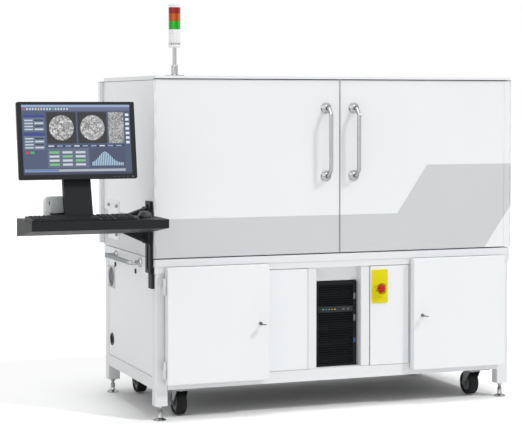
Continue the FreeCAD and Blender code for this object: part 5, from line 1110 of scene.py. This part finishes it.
class MICROSCOPE_OT_stage(bpy.types.Operator):
    """Sets up the floor, the lamps, the background and the camera"""
    bl_idname = "microscope.stage"
    bl_label = "Stage"

    def execute(self, context):
        settings = context.scene.microscope_stage
        context.scene.view_settings.view_transform = "Standard"
        self.camera(context, settings)
        self.background(context, settings)
        self.floor(context)
        for name, direction, energy, width in (
                ("key_light", (-0.84, 1.0, -1.25), settings.key, settings.key_width),
                ("top_light", (0.0, 0.1, -1.0), settings.top, settings.top_width),
                ("fill_light", (1.0, 0.45, -0.45), settings.fill, settings.fill_width)):
            self.lamp(context, name, direction, energy, width)
        return {"FINISHED"}

    def camera(self, context, settings):
        data = bpy.data.cameras.new("camera")
        data.sensor_width = 36.0
        data.lens = settings.lens
        data.shift_y = settings.shift
        data.clip_end = 200.0
        made = bpy.data.objects.new("camera", data)
        x, y, z = settings.eye
        made.location = (MIDDLE_X + x, FRONT_Y + y, z)
        made.rotation_euler = (math.pi / 2 - settings.pitch, 0, -settings.yaw)
        context.scene.collection.objects.link(made)
        context.scene.camera = made

    def background(self, context, settings):
        """Light from a bright ceiling and dim walls; camera and reflections see plain white."""
        world = bpy.data.worlds.new("studio")
        world.use_nodes = True
        context.scene.world = world
        wiring = Wiring(world.node_tree)
        direction = wiring.node("ShaderNodeTexCoord", output="Generated")
        height = wiring.node("ShaderNodeSeparateXYZ", None, {0: direction}, "Z")
        walls, ceiling, white = [
            wiring.node("ShaderNodeBackground", None, {"Color": (1.0, 1.0, 1.0), "Strength": strength})
            for strength in (settings.walls, settings.ceiling, 1.0)]
        room = wiring.node("ShaderNodeMixShader", None, {0: height.clamped(), 1: walls, 2: ceiling})
        rays = [wiring.node("ShaderNodeLightPath", output=name)
                for name in ("Is Camera Ray", "Is Glossy Ray", "Is Transmission Ray")]
        seen = (rays[0] + rays[1] + rays[2]).clamped()
        wiring.close("ShaderNodeOutputWorld",
                     wiring.node("ShaderNodeMixShader", None, {0: seen, 1: room, 2: white}))

    def floor(self, context):
        """Pale floor that the camera sees as white outside the shadows."""
        reach, pale, white = 60.0, (0.95, 0.95, 0.95), (1.12, 1.12, 1.12)
        data = bpy.data.meshes.new("floor")
        corners = [(x, y, 0) for x, y in rectangle(-reach, -reach, reach, reach)]
        data.from_pydata(corners, [], [(0, 1, 2, 3)])
        made = bpy.data.objects.new("floor", data)
        context.scene.collection.objects.link(made)
        finish = Finish("floor_paint")
        seen = finish.node("ShaderNodeLightPath", output="Is Camera Ray")
        tone = finish.mix(seen, pale, white)
        data.materials.append(finish.surface(base_color=tone, roughness=1.0, specular_ior_level=0.0))

    def lamp(self, context, name, direction, energy, width):
        """Distant lamp that shines along a direction."""
        data = bpy.data.lights.new(name, "SUN")
        data.energy = energy
        data.angle = width
        made = bpy.data.objects.new(name, data)
        made.rotation_euler = Vector(direction).to_track_quat("-Z", "Y").to_euler()
        context.scene.collection.objects.link(made)


# Panel and registration

OPERATORS = (MICROSCOPE_OT_cabinet, MICROSCOPE_OT_base, MICROSCOPE_OT_stop, MICROSCOPE_OT_beacon,
             MICROSCOPE_OT_computer, MICROSCOPE_OT_console, MICROSCOPE_OT_monitor, MICROSCOPE_OT_axis,
             MICROSCOPE_OT_fasteners, MICROSCOPE_OT_stage)


class MICROSCOPE_PT_panel(bpy.types.Panel):
    """Lists the settings and the operators"""
    bl_label = "X-ray microscope"
    bl_idname = "MICROSCOPE_PT_panel"
    bl_space_type = "VIEW_3D"
    bl_region_type = "UI"
    bl_category = "Microscope"

    def draw(self, context):
        for attribute in SETTINGS:
            box = self.layout.box()
            group = getattr(context.scene, attribute)
            for name in group.__annotations__:
                box.prop(group, name)
        for operator in OPERATORS:
            self.layout.operator(operator.bl_idname)


def register():
    for attribute, group in SETTINGS.items():
        bpy.utils.register_class(group)
        setattr(bpy.types.Scene, attribute, bpy.props.PointerProperty(type=group))
    for cls in (*OPERATORS, MICROSCOPE_PT_panel):
        bpy.utils.register_class(cls)


def unregister():
    for cls in (*OPERATORS, MICROSCOPE_PT_panel):
        bpy.utils.unregister_class(cls)
    for attribute, group in SETTINGS.items():
        delattr(bpy.types.Scene, attribute)
        bpy.utils.unregister_class(group)


def main():
    register()
    for operator in OPERATORS:
        group, name = operator.bl_idname.split(".")
        getattr(getattr(bpy.ops, group), name)()


if __name__ == "__main__":
    main()
